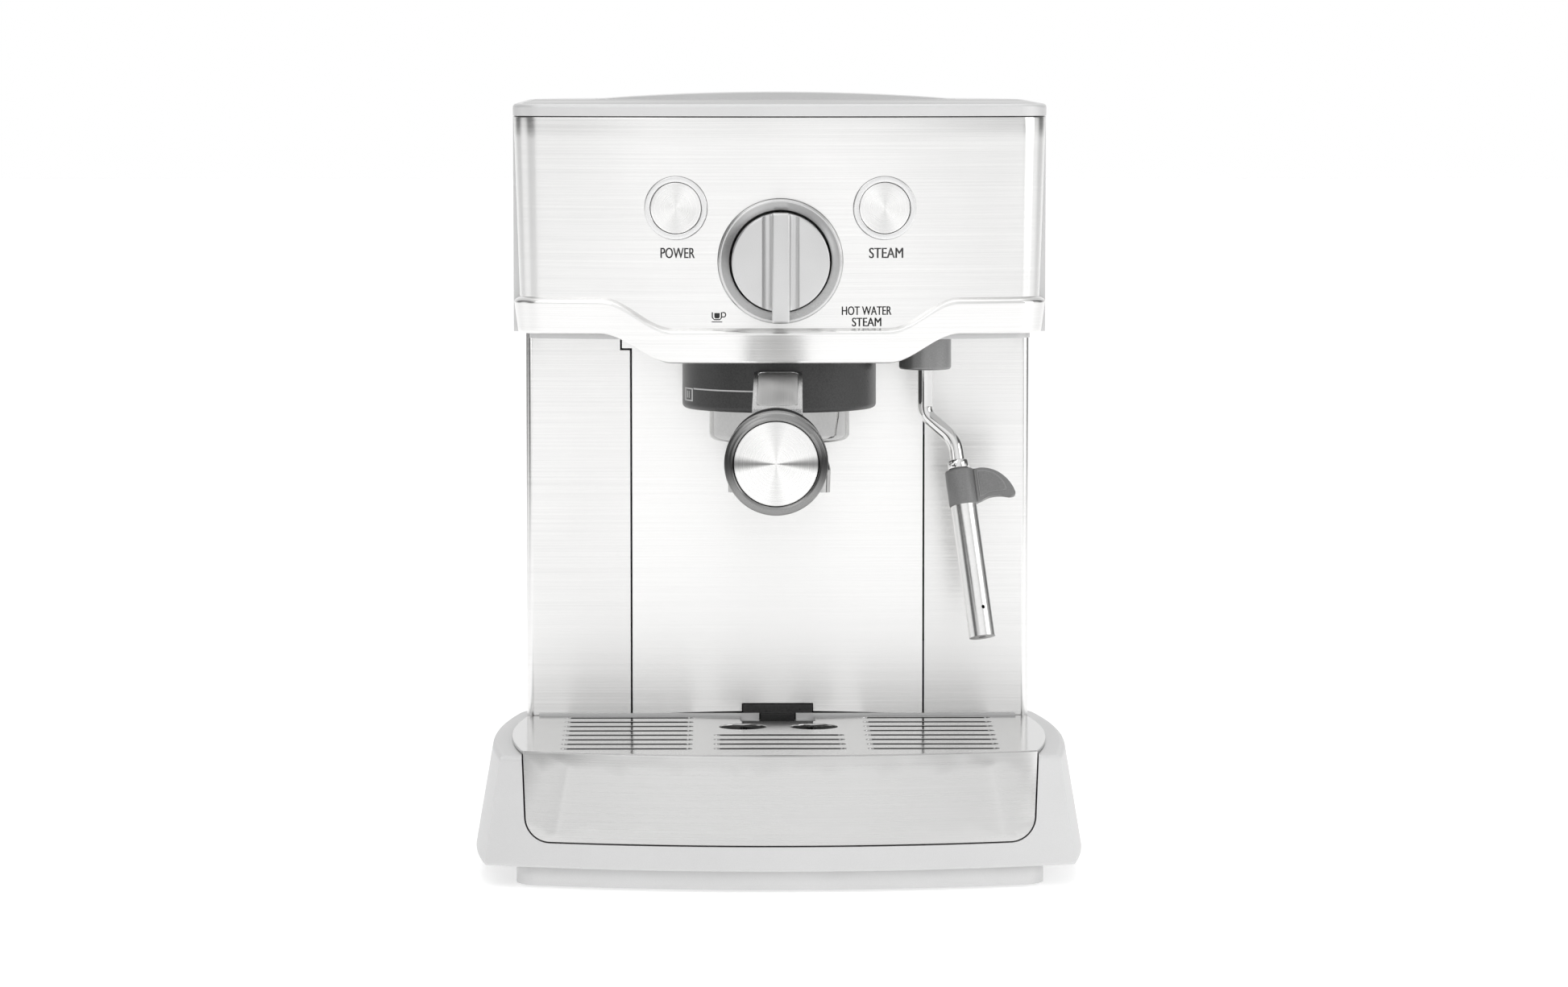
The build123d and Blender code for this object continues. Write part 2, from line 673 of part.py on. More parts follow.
def spout_run(side):
    """One arm of the twin spout: out from the middle, then down."""
    start, bend = (side * 0.5, GROUP_Y, 178.4), (side * 17.2, GROUP_Y, 174.1)
    return FilletPolyline(start, bend, (side * 16.9, GROUP_Y, 161.2), radius=5.5)


def filter_holder_spout():
    body = post(0, GROUP_Y, (173.6, BOWL_LOW), 8.0)
    for side in (-1, 1):
        path = spout_run(side)
        section = Plane(origin=path @ 0, z_dir=path % 0) * Circle(4.6)
        body += sweep(section, path=path)
    for side in (-1, 1):
        body -= rod((side * 16.9, GROUP_Y, 160), (side * 17.1, GROUP_Y, 171), 3.2)
    return body - post(0, GROUP_Y, (178, BOWL_LOW + 1), 4.0)


def filter_holder_neck():
    """The metal neck: it passes under the collar, rises in front of it and caps the handle."""
    profile = polygon(
        (-45, 185.4),
        (-45, 195.9),
        (-67.4, 195.9),
        (-68.2, 214.9),
        (-140, 203.7),
        (-140, 200.1),
        (-88, 208.1),
        (-86, 187.2),
        (-70, 183.9),
    )
    profile = fillet(profile.vertices().sort_by(Axis.Y)[-1], 2.0)
    neck = from_side(profile, (-10, 10)) - post(0, GROUP_Y, (180, 200), BOWL_RADIUS)
    inset = from_side(polygon((-71, 213.7), (-71, 218), (-134, 208), (-134, 203.9)), (-8.4, 8.4))
    return neck - fillet(inset.edges().filter_by(Axis.Z), 3.0)


def filter_holder_handle():
    """The black grip under the neck's cap, round and flared towards its end."""
    circles = []
    for y, z, radius in (
        (-88, 196.4, 9.4),
        (-112, 193.4, 11.0),
        (-140, 190.2, 12.6),
        (-158, 188.6, 16.2),
        (RING_BACK, 187.0, 19.4),
    ):
        circles.append(Plane(origin=(0, y, z), z_dir=(0, -1, 0)) * Circle(radius))
    return loft(circles) - filter_holder_neck()


def handle_end_ring():
    """The chromed ring round the handle's end."""
    z = END_RING_Z
    ring = rod((0, RING_BACK, z), (0, HANDLE_TIP, z), 20.5)
    ring = fillet(ring.edges().group_by(Axis.Y)[0], 2.6)
    return ring - rod((0, -190, z), (0, -183, z), 16.8)


def handle_end_disc():
    z = END_RING_Z
    return rod((0, -183, z), (0, -184.2, z), 16.7)


# ---- Steam wand ----
WAND_TOP = 226.0
WAND_PATH = [
    (WAND_X, GROUP_Y, WAND_TOP),
    (WAND_X, GROUP_Y, 194.0),
    (73.9, -30.5, 183.245),
    (84.2, -52.6, 106.0),
]
GRIP_START, GRIP_END, SLEEVE_END = 12.9, 28.3, 84.7  # along the wand's last run, from its corner


def wand_point(distance):
    """A point on the wand's last, straight run."""
    corner, tip = Vector(*WAND_PATH[2]), Vector(*WAND_PATH[3])
    return corner + (tip - corner).normalized() * distance


def steam_socket():
    """The grey bush that the steam wand swivels in."""
    bush = post(WAND_X, GROUP_Y, (213.0, HEAD_BOTTOM + 4.8), 11.0)
    bush = fillet(bush.edges().group_by(Axis.Z)[0], 1.2)
    bush -= post(WAND_X, GROUP_Y, (210, 240), 3.0 + FIT)
    return bush - post(WAND_X, GROUP_Y, (WAND_TOP - 3, 240), 5.0)


def steam_tube():
    path = FilletPolyline(*WAND_PATH, radius=(7.0, 12.0))
    section = Plane(origin=path @ 0, z_dir=path % 0) * Circle(3.0)
    bent = sweep(section, path=path)
    stop = post(WAND_X, GROUP_Y, (WAND_TOP - 2.5, WAND_TOP + 1), 4.4)
    return bent + stop


def steam_nut():
    nut = rod(wand_point(GRIP_START - 4.0), wand_point(GRIP_START - 0.4), 4.4)
    return nut - rod(wand_point(GRIP_START - 6), wand_point(GRIP_START + 1), 3.0)


def wand_plane(distance):
    """A plane across the wand, with X pointing away from the machine's middle."""
    along = wand_point(1) - wand_point(0)
    return Plane(origin=wand_point(distance), x_dir=(1, 0, -along.X / along.Z), z_dir=along)


def wand_grip():
    """The grey sleeve holder, with a curved finger tab on its outer side."""
    grip = wand_plane(GRIP_START) * Cylinder(6.1, GRIP_END - GRIP_START, align=(MID, MID, LOW))
    place = wand_plane(GRIP_START)
    side = Plane(origin=place.origin, x_dir=place.x_dir, z_dir=place.x_dir.cross(place.z_dir))
    down = -1 if (side.y_dir.Z > 0) else 1
    outline = make_face(
        [
            Line((3, down * 0.6), (8, down * 0.6)),
            ThreePointArc((8, down * 0.6), (17.0, down * 4.4), (22.2, down * 13.2)),
            ThreePointArc((22.2, down * 13.2), (20.4, down * 14.6), (16.8, down * 13.6)),
            ThreePointArc((16.8, down * 13.6), (10, down * 13.6), (3, down * 15.0)),
            Line((3, down * 15.0), (3, down * 0.6)),
        ]
    )
    tab = extrude(side * outline, amount=2.6, both=True)
    grip = grip + tab
    grip -= rod(wand_point(GRIP_START - 2), wand_point(GRIP_END + 2), 3.0 + FIT)
    return grip - rod(wand_point(GRIP_START + 8), wand_point(GRIP_END + 2), 5.5)


def froth_sleeve():
    """The steel sleeve over the wand's tip, with an air hole near its lower end."""
    sleeve = rod(wand_point(GRIP_START + 8), wand_point(SLEEVE_END), 5.5)
    sleeve -= rod(wand_point(GRIP_START + 9), wand_point(SLEEVE_END - 1.4), 4.5)
    sleeve -= rod(wand_point(GRIP_START + 7), wand_point(GRIP_START + 10), 3.0 + FIT)
    sleeve -= rod(wand_point(SLEEVE_END - 2), wand_point(SLEEVE_END + 1), 1.6)
    hole = wand_plane(SLEEVE_END - 13)
    air = Plane(origin=hole.origin, z_dir=(0.35, -0.93, 0.1)) * Cylinder(0.8, 8, align=(MID, MID, LOW))
    return sleeve - air


# ---- Water tank ----
TANK_LOW, TANK_TOP = 60.4, 321.6


def water_tank():
    """The clear tank, which lifts out through the deck. Its rear rim is low, so that the lid can turn."""
    gap = 0.8
    tank = plate(lid_plan(-gap), (TANK_LOW, TANK_TOP))
    tank -= plate(lid_plan(-gap - WALL), (TANK_LOW + WALL, TANK_TOP + 1))
    tank -= slab((-60, 60), (LID_HINGE[0] - 6, HALF_DEPTH), (TANK_TOP - 2.2, TANK_TOP + 1))
    tank += mirrored(slab(EAR, (LID_HINGE[0] - 1.6, LID_HINGE[0] + 1.3), (TANK_TOP - 6, DECK_TOP)))
    tank -= hinge_rod((EAR[0] - 1, EAR[1] + 1), 0.75 + FIT)
    return tank - post(*SEAT, (TANK_LOW - 1, TANK_LOW + 4), 5.0)


def tank_valve():
    """The spring valve in the tank's floor that opens over the seat."""
    stub = post(*SEAT, (TANK_LOW - 9, TANK_LOW + 6), 5.0) + post(*SEAT, (TANK_LOW + WALL, TANK_LOW + 5), 9.0)
    return stub - post(*SEAT, (TANK_LOW - 10, TANK_LOW + 7), 2.5)


def tank_seat():
    seat = post(*SEAT, (44, TANK_LOW - 0.4), 13.0) + post(*SEAT, (BASE_TOP, BASE_TOP + 2), 17.0)
    return seat - post(*SEAT, (49, 61), 5.0 + FIT) - post(*SEAT, (40, 50), 3.0)


# ---- Works inside ----
def thermoblock():
    block = slab((-52, 52), (-40, 44), (246, 282))
    block = fillet(block.edges().filter_by(Axis.Z), 8)
    return block - slab((-40, 40), (-41, -34), (262, 270))


PUMP = (-45.0, 84.0)


def water_pump():
    """The vibration pump: coil housing, inlet below and outlet above."""
    return post(*PUMP, (86, 142), 19) + post(*PUMP, (74, 86), 7) + post(*PUMP, (142, 160), 8)


def pump_mounts():
    """Two rubber rings on a foot, which hold the pump off the chassis."""
    rings = []
    for z in (76, 146):
        ring = slab((PUMP[0] - 16, PUMP[0] + 16), (PUMP[1] - 14, 112), (z, z + 6))
        ring -= post(*PUMP, (z - 1, z + 7), 7 if z < 100 else 8)
        rings.append(ring)
    return rings


def hose(points, radii):
    path = FilletPolyline(*points, radius=radii)
    section = Plane(origin=path @ 0, z_dir=path % 0) * Circle(3.0)
    return sweep(section, path=path)


def supply_hose():
    """From the tank's seat to the pump's inlet."""
    x, y = SEAT
    inlet = (PUMP[0], PUMP[1], 74)
    return hose([(x, y, 44), (x, y, 28), (-20, 104, 26), (PUMP[0], PUMP[1], 34), inlet], (12, 14, 14))


def brew_hose():
    """From the pump's outlet to the heater."""
    x, y = PUMP
    return hose([(x, y, 160), (x, y, 262), (x, 44, 262)], (24,))


def steam_pipe():
    """From the valve to the steam wand's socket."""
    y = -55.0
    z = KNOB_Z - 4
    end = (WAND_X, GROUP_Y, HEAD_BOTTOM + 4.8)
    return hose([(15, y, z), (WAND_X, y, z), (WAND_X, GROUP_Y, z - 6), end], (12, 10))


def control_board():
    board = slab((14, 92), (104, 105.6), (84, 176))
    board += slab((20, 44), (92, 104), (92, 120)) + slab((52, 80), (96, 104), (100, 118))
    board += slab((24, 60), (94, 104), (136, 160))
    for x in (18, 88):
        for z in (88, 172):
            board += rod((x, 105.6, z), (x, 112, z), 2.2)
    return board


def groups():
    """Every node's name and its solids."""
    return {
        "base_housing": base_housing(),
        "base_plinth": base_plinth(),
        "rubber_feet": rubber_feet(),
        "base_screws": base_screws(),
        "cord_gland": cord_gland(),
        "drip_tray": drip_tray(),
        "drip_tray_front": drip_tray_front(),
        "drip_grate": drip_grate(),
        "drain_spout": drain_spout(),
        "left_side_panel": left_side_panel(),
        "right_side_panel": right_side_panel(),
        "splash_back": splash_back(),
        "rear_cover": rear_cover(),
        "inner_chassis": inner_chassis(),
        "front_fascia": front_fascia(),
        "head_housing": head_housing(),
        "head_underside": head_underside(),
        "top_deck": top_deck(),
        "cup_plate": cup_plate(),
        "tank_lid": tank_lid(),
        "lid_hinge_pins": lid_hinge_pins(),
        "knob_bezel": knob_bezel(),
        "selector_knob": selector_knob(),
        "knob_shaft": knob_shaft(),
        "steam_valve": steam_valve(),
        "power_button_ring": button_ring(-1),
        "steam_button_ring": button_ring(1),
        "power_button": button_cap(-1),
        "steam_button": button_cap(1),
        "power_switch": push_switch(-1),
        "steam_switch": push_switch(1),
        "group_collar": group_collar(),
        "group_head": group_head(),
        "group_gasket": group_gasket(),
        "shower_screen": shower_screen(),
        "shower_screw": shower_screw(),
        "filter_holder_bowl": locked(filter_holder_bowl()),
        "filter_basket": locked(filter_basket()),
        "filter_holder_spout": locked(filter_holder_spout()),
        "filter_holder_neck": locked(filter_holder_neck()),
        "filter_holder_handle": locked(filter_holder_handle()),
        "handle_end_ring": locked(handle_end_ring()),
        "handle_end_disc": locked(handle_end_disc()),
        "steam_socket": steam_socket(),
        "steam_tube": steam_tube(),
        "steam_nut": steam_nut(),
        "wand_grip": wand_grip(),
        "froth_sleeve": froth_sleeve(),
        "water_tank": water_tank(),
        "tank_valve": tank_valve(),
        "tank_seat": tank_seat(),
        "thermoblock": thermoblock(),
        "water_pump": water_pump(),
        "pump_mounts": pump_mounts(),
        "supply_hose": supply_hose(),
        "brew_hose": brew_hose(),
        "steam_pipe": steam_pipe(),
        "control_board": control_board(),
    }


os.makedirs("parts", exist_ok=True)
for name, shape in groups().items():
    solids = []
    for piece in shape if isinstance(shape, list) else [shape]:
        solids.extend(piece.solids())
    export_step(solids[0] if len(solids) == 1 else Compound(children=solids), f"parts/{name}.step")
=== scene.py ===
import json
from math import asin, cos, pi, sin, sqrt

import bmesh
import bpy
from mathutils import Matrix, Vector

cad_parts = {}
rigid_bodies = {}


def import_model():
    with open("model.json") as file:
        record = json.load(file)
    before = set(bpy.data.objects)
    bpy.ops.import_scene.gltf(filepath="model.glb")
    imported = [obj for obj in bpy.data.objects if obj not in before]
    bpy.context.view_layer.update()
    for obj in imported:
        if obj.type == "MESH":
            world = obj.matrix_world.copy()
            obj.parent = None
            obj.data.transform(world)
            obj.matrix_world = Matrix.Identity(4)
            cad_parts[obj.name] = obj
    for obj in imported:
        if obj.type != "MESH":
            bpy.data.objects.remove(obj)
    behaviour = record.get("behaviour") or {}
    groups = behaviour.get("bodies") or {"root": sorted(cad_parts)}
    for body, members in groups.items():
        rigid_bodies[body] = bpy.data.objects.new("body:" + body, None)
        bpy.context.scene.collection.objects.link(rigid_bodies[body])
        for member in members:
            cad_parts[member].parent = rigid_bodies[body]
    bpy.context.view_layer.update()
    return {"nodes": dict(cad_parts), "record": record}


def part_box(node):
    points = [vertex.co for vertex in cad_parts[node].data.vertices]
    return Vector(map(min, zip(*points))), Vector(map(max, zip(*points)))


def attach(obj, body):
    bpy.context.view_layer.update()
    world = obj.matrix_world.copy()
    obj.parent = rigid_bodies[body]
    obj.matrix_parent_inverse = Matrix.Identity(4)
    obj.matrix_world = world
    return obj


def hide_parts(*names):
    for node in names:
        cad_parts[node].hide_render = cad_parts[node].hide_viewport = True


# An espresso machine. Metres, +Z up; the front faces -Y.

for thing in list(bpy.data.objects):
    bpy.data.objects.remove(thing)
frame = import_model()
MM = 0.001

# ---- Sizes that the pieces share, most of them read from the frame ----
FASCIA_LOW, FASCIA_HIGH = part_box("front_fascia")
RING_LOW, RING_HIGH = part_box("handle_end_ring")
COLLAR_LOW, COLLAR_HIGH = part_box("group_collar")
FRONT_RADIUS = 375 * MM  # the bow of every front, seen from above
GROUP = Vector((0, (COLLAR_LOW.y + COLLAR_HIGH.y) / 2, 0))
KNOB = Vector((0, -76 * MM, 260.5 * MM))  # where the selector's axis meets the fascia
KNOB_HOLE, BUTTON_HOLE = 25.9, 13.15  # radii of the holes in the fascia, in millimetres
BUTTON_X, BUTTON_Z = 43 * MM, 282.3 * MM
CREASE = (244 * MM, 231.6 * MM)  # height of the fascia's crease at the sides and in the middle
LIP_EDGE = (230 * MM, 218.2 * MM)  # height of its lower edge, likewise
S_BEND = (45 * MM, 74 * MM)  # X over which both change height
WAIST = 2.7 * MM  # how far the panel has leaned in where it meets the crease
EDGE = 0.5 * MM  # how far the fascia's upper edge stands inside the head's outline
OUTWARD = Vector((0, -1, 0))  # straight out of the machine's front


# ---- Materials ----
class Look:
    """A Principled material, with short ways to add nodes to it."""

    def __init__(self, name, colour, metallic, roughness, settings=()):
        self.material = bpy.data.materials.new(name)
        self.material.use_nodes = True
        self.tree = self.material.node_tree
        self.surface = next(n for n in self.tree.nodes if n.type == "BSDF_PRINCIPLED")
        self.set(self.surface, {"Base Color": (*colour, 1), "Metallic": metallic, "Roughness": roughness})
        self.set(self.surface, dict(settings))

    def set(self, node, values):
        for socket, value in values.items():
            node.inputs[socket].default_value = value

    def node(self, kind, values=(), **settings):
        node = self.tree.nodes.new("ShaderNode" + kind)
        for key, value in settings.items():
            setattr(node, key, value)
        self.set(node, dict(values))
        return node

    def link(self, output, target):
        self.tree.links.new(output, target)

    def place(self, scale=(1, 1, 1)):
        """The piece's own coordinates, in metres, times a scale."""
        where = self.node("TexCoord")
        stretch = self.node("Mapping", {"Scale": scale})
        self.link(where.outputs["Object"], stretch.inputs["Vector"])
        return stretch.outputs["Vector"]

    def noise(self, scale, detail=2.0, rough=0.5, stretch=(1, 1, 1)):
        noise = self.node("TexNoise", {"Scale": scale, "Detail": detail, "Roughness": rough})
        self.link(self.place(stretch), noise.inputs["Vector"])
        return noise.outputs["Fac"]

    def math(self, operation, first, second=0.0):
        node = self.node("Math", operation=operation)
        for socket, value in zip(node.inputs, (first, second)):
            if isinstance(value, (int, float)):
                socket.default_value = value
            else:
                self.link(value, socket)
        return node.outputs[0]

    def span(self, value, low, high, start=0.3, end=0.7, smooth=False):
        """value, which runs from start to end, made to run from low to high."""
        node = self.node(
            "MapRange", {"From Min": start, "From Max": end, "To Min": low, "To Max": high}
        )
        node.interpolation_type = "SMOOTHSTEP" if smooth else "LINEAR"
        self.link(value, node.inputs["Value"])
        return node.outputs["Result"]

    def tint(self, value, dark, light, start=0.3, end=0.7):
        """Drives the colour from dark to light as value runs from start to end."""
        ramp = self.node("ValToRGB")
        ramp.color_ramp.elements[0].position, ramp.color_ramp.elements[1].position = start, end
        ramp.color_ramp.elements[0].color = (*dark, 1)
        ramp.color_ramp.elements[1].color = (*light, 1)
        self.link(value, ramp.inputs["Fac"])
        self.link(ramp.outputs["Color"], self.surface.inputs["Base Color"])

    def roughen(self, value, low, high, start=0.3, end=0.7):
        self.link(self.span(value, low, high, start, end), self.surface.inputs["Roughness"])

    def bump(self, height, depth, strength=1.0):
        node = self.node("Bump", {"Strength": strength, "Distance": depth})
        self.link(height, node.inputs["Height"])
        self.link(node.outputs["Normal"], self.surface.inputs["Normal"])


def grey(value):
    return (value, value, value)


def warm(value):
    """A metal's grey: a trace of blue is missing."""
    return (value, value * 0.997, value * 0.99)


def brushed(name, stretch, tones, roughness, anisotropic=0.7):
    """Sheet steel with long fine scratches. stretch is small along the grain and large across it."""
    look = Look(
        name, warm(tones[1]), 1.0, roughness[0],
        {"Anisotropic": anisotropic, "Anisotropic Rotation": 0.25},
    )
    fine = look.noise(1.0, 4.0, 0.7, stretch)
    broad = look.noise(0.25, 3.0, 0.6, stretch)
    cloud = look.noise(16.0, 3.0, 0.55)
    scratches = look.math("ADD", look.math("MULTIPLY", fine, 0.75), look.math("MULTIPLY", broad, 0.25))
    tone = look.math("ADD", look.math("MULTIPLY", scratches, 0.75), look.math("MULTIPLY", cloud, 0.25))
    look.tint(tone, warm(tones[0]), warm(tones[1]), 0.36, 0.64)
    look.roughen(tone, *roughness)
    look.bump(scratches, 0.012 * MM, 0.4)
    return look.material


def moulded(name, tones, roughness, metallic=0.0, grain=2600.0, depth=0.02 * MM, settings=()):
    """Moulded plastic: a fine even texture, with faint clouds of tone where hands have been."""
    dark, light = (tone if isinstance(tone, tuple) else grey(tone) for tone in tones)
    look = Look(name, light, metallic, roughness[0], settings)
    speck = look.noise(grain, 2.0, 0.6)
    cloud = look.noise(22.0, 3.0, 0.6)
    tone = look.math("ADD", look.math("MULTIPLY", speck, 0.6), look.math("MULTIPLY", cloud, 0.4))
    look.tint(tone, dark, light, 0.35, 0.65)
    look.roughen(tone, *roughness)
    look.bump(speck, depth, 0.6)
    return look.material


def polished(name, tones, roughness):
    """Plated metal: nearly a mirror, with faint smears."""
    look = Look(name, warm(tones[1]), 1.0, roughness[0])
    smear = look.noise(38.0, 4.0, 0.6)
    haze = look.noise(900.0, 2.0, 0.5)
    tone = look.math("ADD", look.math("MULTIPLY", smear, 0.7), look.math("MULTIPLY", haze, 0.3))
    look.tint(tone, warm(tones[0]), warm(tones[1]))
    look.roughen(tone, *roughness)
    look.bump(haze, 0.002 * MM, 0.3)
    return look.material


def spun(name, bright, painted_side_shade, painted_pole_shade, painted_side_width, painted_pole_width):
    """Metal turned in fine rings, with painted shade: its colour is darkened in wedges at the sides and at
    the poles, where turned metal gathers light and shade in its reflection.
    """
    look = Look(name, warm(bright), 1.0, 0.3, {"Anisotropic": 0.85, "Anisotropic Rotation": 0.25})
    parts = look.node("SeparateXYZ")
    look.link(look.place(), parts.inputs["Vector"])
    x, y = parts.outputs["X"], parts.outputs["Y"]
    radius = look.math("SQRT", look.math("ADD", look.math("MULTIPLY", x, x), look.math("MULTIPLY", y, y)))
    safe = look.math("MAXIMUM", radius, 0.02 * MM)
    rings = look.node("TexNoise", {"Scale": 2600.0, "Detail": 3.0}, noise_dimensions="1D")
    look.link(radius, rings.inputs["W"])
    across = look.math("ABSOLUTE", look.math("DIVIDE", y, safe))
    along = look.math("ABSOLUTE", look.math("DIVIDE", x, safe))
    # Painted shade: darker wedges at the sides and at the poles, added to the rings' own faint tone.
    sides = look.span(across, painted_side_shade, 0.0, 0.0, painted_side_width, True)
    poles = look.span(along, painted_pole_shade, 0.0, 0.0, painted_pole_width, True)
    shade = look.math("ADD", look.math("ADD", sides, poles), look.span(rings.outputs["Fac"], 0.0, 0.06))
    look.tint(shade, warm(bright), warm(0.05), 0.0, 1.0)
    look.roughen(rings.outputs["Fac"], 0.2, 0.38)
    look.bump(rings.outputs["Fac"], 0.01 * MM, 0.5)
    tangent = look.node("Tangent", direction_type="RADIAL", axis="Z")
    look.link(tangent.outputs["Tangent"], look.surface.inputs["Tangent"])
    return look.material


def see_through(name):
    look = Look(name, (0.72, 0.79, 0.84), 0.0, 0.06, {"Alpha": 0.4, "IOR": 1.49})
    look.tint(look.noise(30.0, 2.0), (0.66, 0.74, 0.8), (0.76, 0.82, 0.87))
    look.roughen(look.noise(700.0, 2.0), 0.04, 0.12)
    return look.material


def board(name):
    """A green circuit board with paler tracks."""
    look = Look(name, (0.03, 0.16, 0.07), 0.0, 0.4)
    cells = look.node("TexBrick", {"Scale": 160.0, "Mortar Size": 0.03, "Color1": (0.03, 0.16, 0.07, 1),
                                   "Color2": (0.02, 0.12, 0.05, 1), "Mortar": (0.16, 0.34, 0.12, 1)})
    look.link(look.place((1, 1, 1)), cells.inputs["Vector"])
    look.link(cells.outputs["Color"], look.surface.inputs["Base Color"])
    look.roughen(look.noise(500.0), 0.3, 0.5)
    return look.material


ACROSS = (9, 9, 4200)  # grain that runs level round an upright face
LEVEL = (9, 4200, 9)  # grain that runs across a level face
LOOKS = {
    "silver_plastic": moulded("silver_plastic", (0.66, 0.71), (0.34, 0.46), 0.25, 3200.0, 0.012 * MM),
    "brushed_steel": brushed("brushed_steel", ACROSS, (0.78, 0.91), (0.19, 0.28), 0.8),
    # Painted light: a lighter copy of the brushed steel for the splash back, which stands in the head's
    # shade.
    "splash_steel_painted_light": brushed("splash_steel_painted_light", ACROSS, (0.86, 0.98), (0.20, 0.28), 0.8),
    # Painted shade: darker copies of the brushed steel for the tray front and the cup plate.
    "tray_steel_painted_shade": brushed("tray_steel_painted_shade", ACROSS, (0.60, 0.66), (0.24, 0.33)),
    "level_steel_painted_shade": brushed("level_steel_painted_shade", LEVEL, (0.36, 0.42), (0.24, 0.34)),
    "grate_steel": brushed("grate_steel", LEVEL, (0.46, 0.52), (0.08, 0.15), 0.4),
    "chrome": polished("chrome", (0.72, 0.82), (0.03, 0.09)),
    # The handle's ring: a dark copy of the chrome, with painted shade in wedges at its sides, standing in for
    # its dark reflections.
    "ring_chrome": spun("ring_chrome", 0.30, 0.95, 0.0, 0.7, 0.3),
    # Painted shade: a darker copy of the chrome for the filter holder's bowl and spout.
    "bowl_chrome_painted_shade": polished("bowl_chrome_painted_shade", (0.40, 0.50), (0.03, 0.08)),
    "neck_aluminium": brushed("neck_aluminium", (4200, 9, 9), (0.54, 0.66), (0.30, 0.40), 0.5),
    "socket_grey": moulded("socket_grey", (0.24, 0.31), (0.28, 0.38), 0.6, 2200.0, 0.02 * MM),
    "stainless": polished("stainless", (0.82, 0.92), (0.16, 0.26)),
    "satin_aluminium": moulded("satin_aluminium", (0.60, 0.70), (0.28, 0.40), 1.0, 3600.0, 0.012 * MM),
    "ring_aluminium": moulded("ring_aluminium", (0.78, 0.84), (0.22, 0.32), 1.0, 3600.0, 0.008 * MM),
    "dish_aluminium": moulded("dish_aluminium", (0.60, 0.70), (0.20, 0.30), 1.0, 3600.0, 0.008 * MM),
    # Painted shade on the buttons' caps and the handle's disc: darker wedges at the poles, and on the disc at
    # the sides too.
    "cap_aluminium": spun("cap_aluminium", 0.93, 0.0, 0.16, 0.6, 0.72),
    "disc_aluminium": spun("disc_aluminium", 0.93, 0.74, 0.16, 0.27, 0.34),
    "black_plastic": moulded("black_plastic", (0.014, 0.04), (0.24, 0.44), 0.0, 1500.0, 0.05 * MM),
    "grey_plastic": moulded("grey_plastic", (0.17, 0.24), (0.34, 0.46), 0.1, 2200.0, 0.02 * MM),
    "rubber": moulded("rubber", (0.015, 0.03), (0.6, 0.8), 0.0, 1200.0, 0.04 * MM),
    "clear_plastic": see_through("clear_plastic"),
    "cast_aluminium": moulded("cast_aluminium", (0.42, 0.56), (0.42, 0.6), 1.0, 900.0, 0.08 * MM),
    "zinc_steel": moulded(
        "zinc_steel", ((0.46, 0.48, 0.52), (0.58, 0.6, 0.63)), (0.26, 0.4), 1.0, 60.0, 0.01 * MM
    ),
    "silicone": moulded(
        "silicone", ((0.58, 0.58, 0.54), (0.68, 0.68, 0.64)), (0.36, 0.46), 0.0, 400.0, 0.02 * MM
    ),
    "white_plastic": moulded("white_plastic", (0.70, 0.76), (0.34, 0.46), 0.0, 1500.0, 0.02 * MM),
    "circuit_board": board("circuit_board"),
    "print_dark": moulded("print_dark", (0.012, 0.02), (0.5, 0.6), 0.0, 3000.0, 0.004 * MM),
    "print_grey": moulded("print_grey", (0.11, 0.15), (0.5, 0.6), 0.0, 3000.0, 0.004 * MM),
    "print_light": moulded("print_light", (0.5, 0.58), (0.5, 0.6), 0.0, 3000.0, 0.004 * MM),
}
SPECIAL = {  # nodes given a look unlike the others of their slot; the splash back's look paints light, and those of the cup plate, tray front, bowl and spout paint shade
    "cup_plate": "level_steel_painted_shade",
    "drip_tray_front": "tray_steel_painted_shade",
    "filter_holder_neck": "ring_aluminium",
    "filter_holder_bowl": "bowl_chrome_painted_shade",
    "filter_holder_spout": "bowl_chrome_painted_shade",
    "steam_socket": "socket_grey",
    "splash_back": "splash_steel_painted_light",
}

for entry in frame["record"]["subparts"]:
    node = frame["nodes"][entry["node"]]
    name = SPECIAL.get(entry["node"], entry["material_slot"])
    name = "disc_aluminium" if name == "spun_aluminium" else name
    for slot in node.material_slots:
        slot.material = LOOKS[name]


# ---- Meshes ----
def finish_piece(mesh, name, look, body, replaced=(), matrix=None):
    """Makes a mesh a piece of the model: its look and body, and the CAD nodes that it replaces, which it
    hides.
    """
    piece = bpy.data.objects.new(name, mesh)
    bpy.context.scene.collection.objects.link(piece)
    mesh.materials.append(LOOKS[look])
    if matrix:
        piece.matrix_world = matrix
    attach(piece, body)
    if replaced:
        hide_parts(*replaced)
    return piece


def to_mesh(shape, name, smooth_angle=35):
    """The bmesh as a mesh with outward normals, smooth except at edges sharper than an angle in degrees."""
    bmesh.ops.remove_doubles(shape, verts=shape.verts, dist=0.0005 * MM)
    bmesh.ops.recalc_face_normals(shape, faces=shape.faces)
    mesh = bpy.data.meshes.new(name)
    shape.to_mesh(mesh)
    shape.free()
    mesh.shade_smooth()
    mesh.set_sharp_from_angle(angle=smooth_angle * pi / 180)
    return mesh


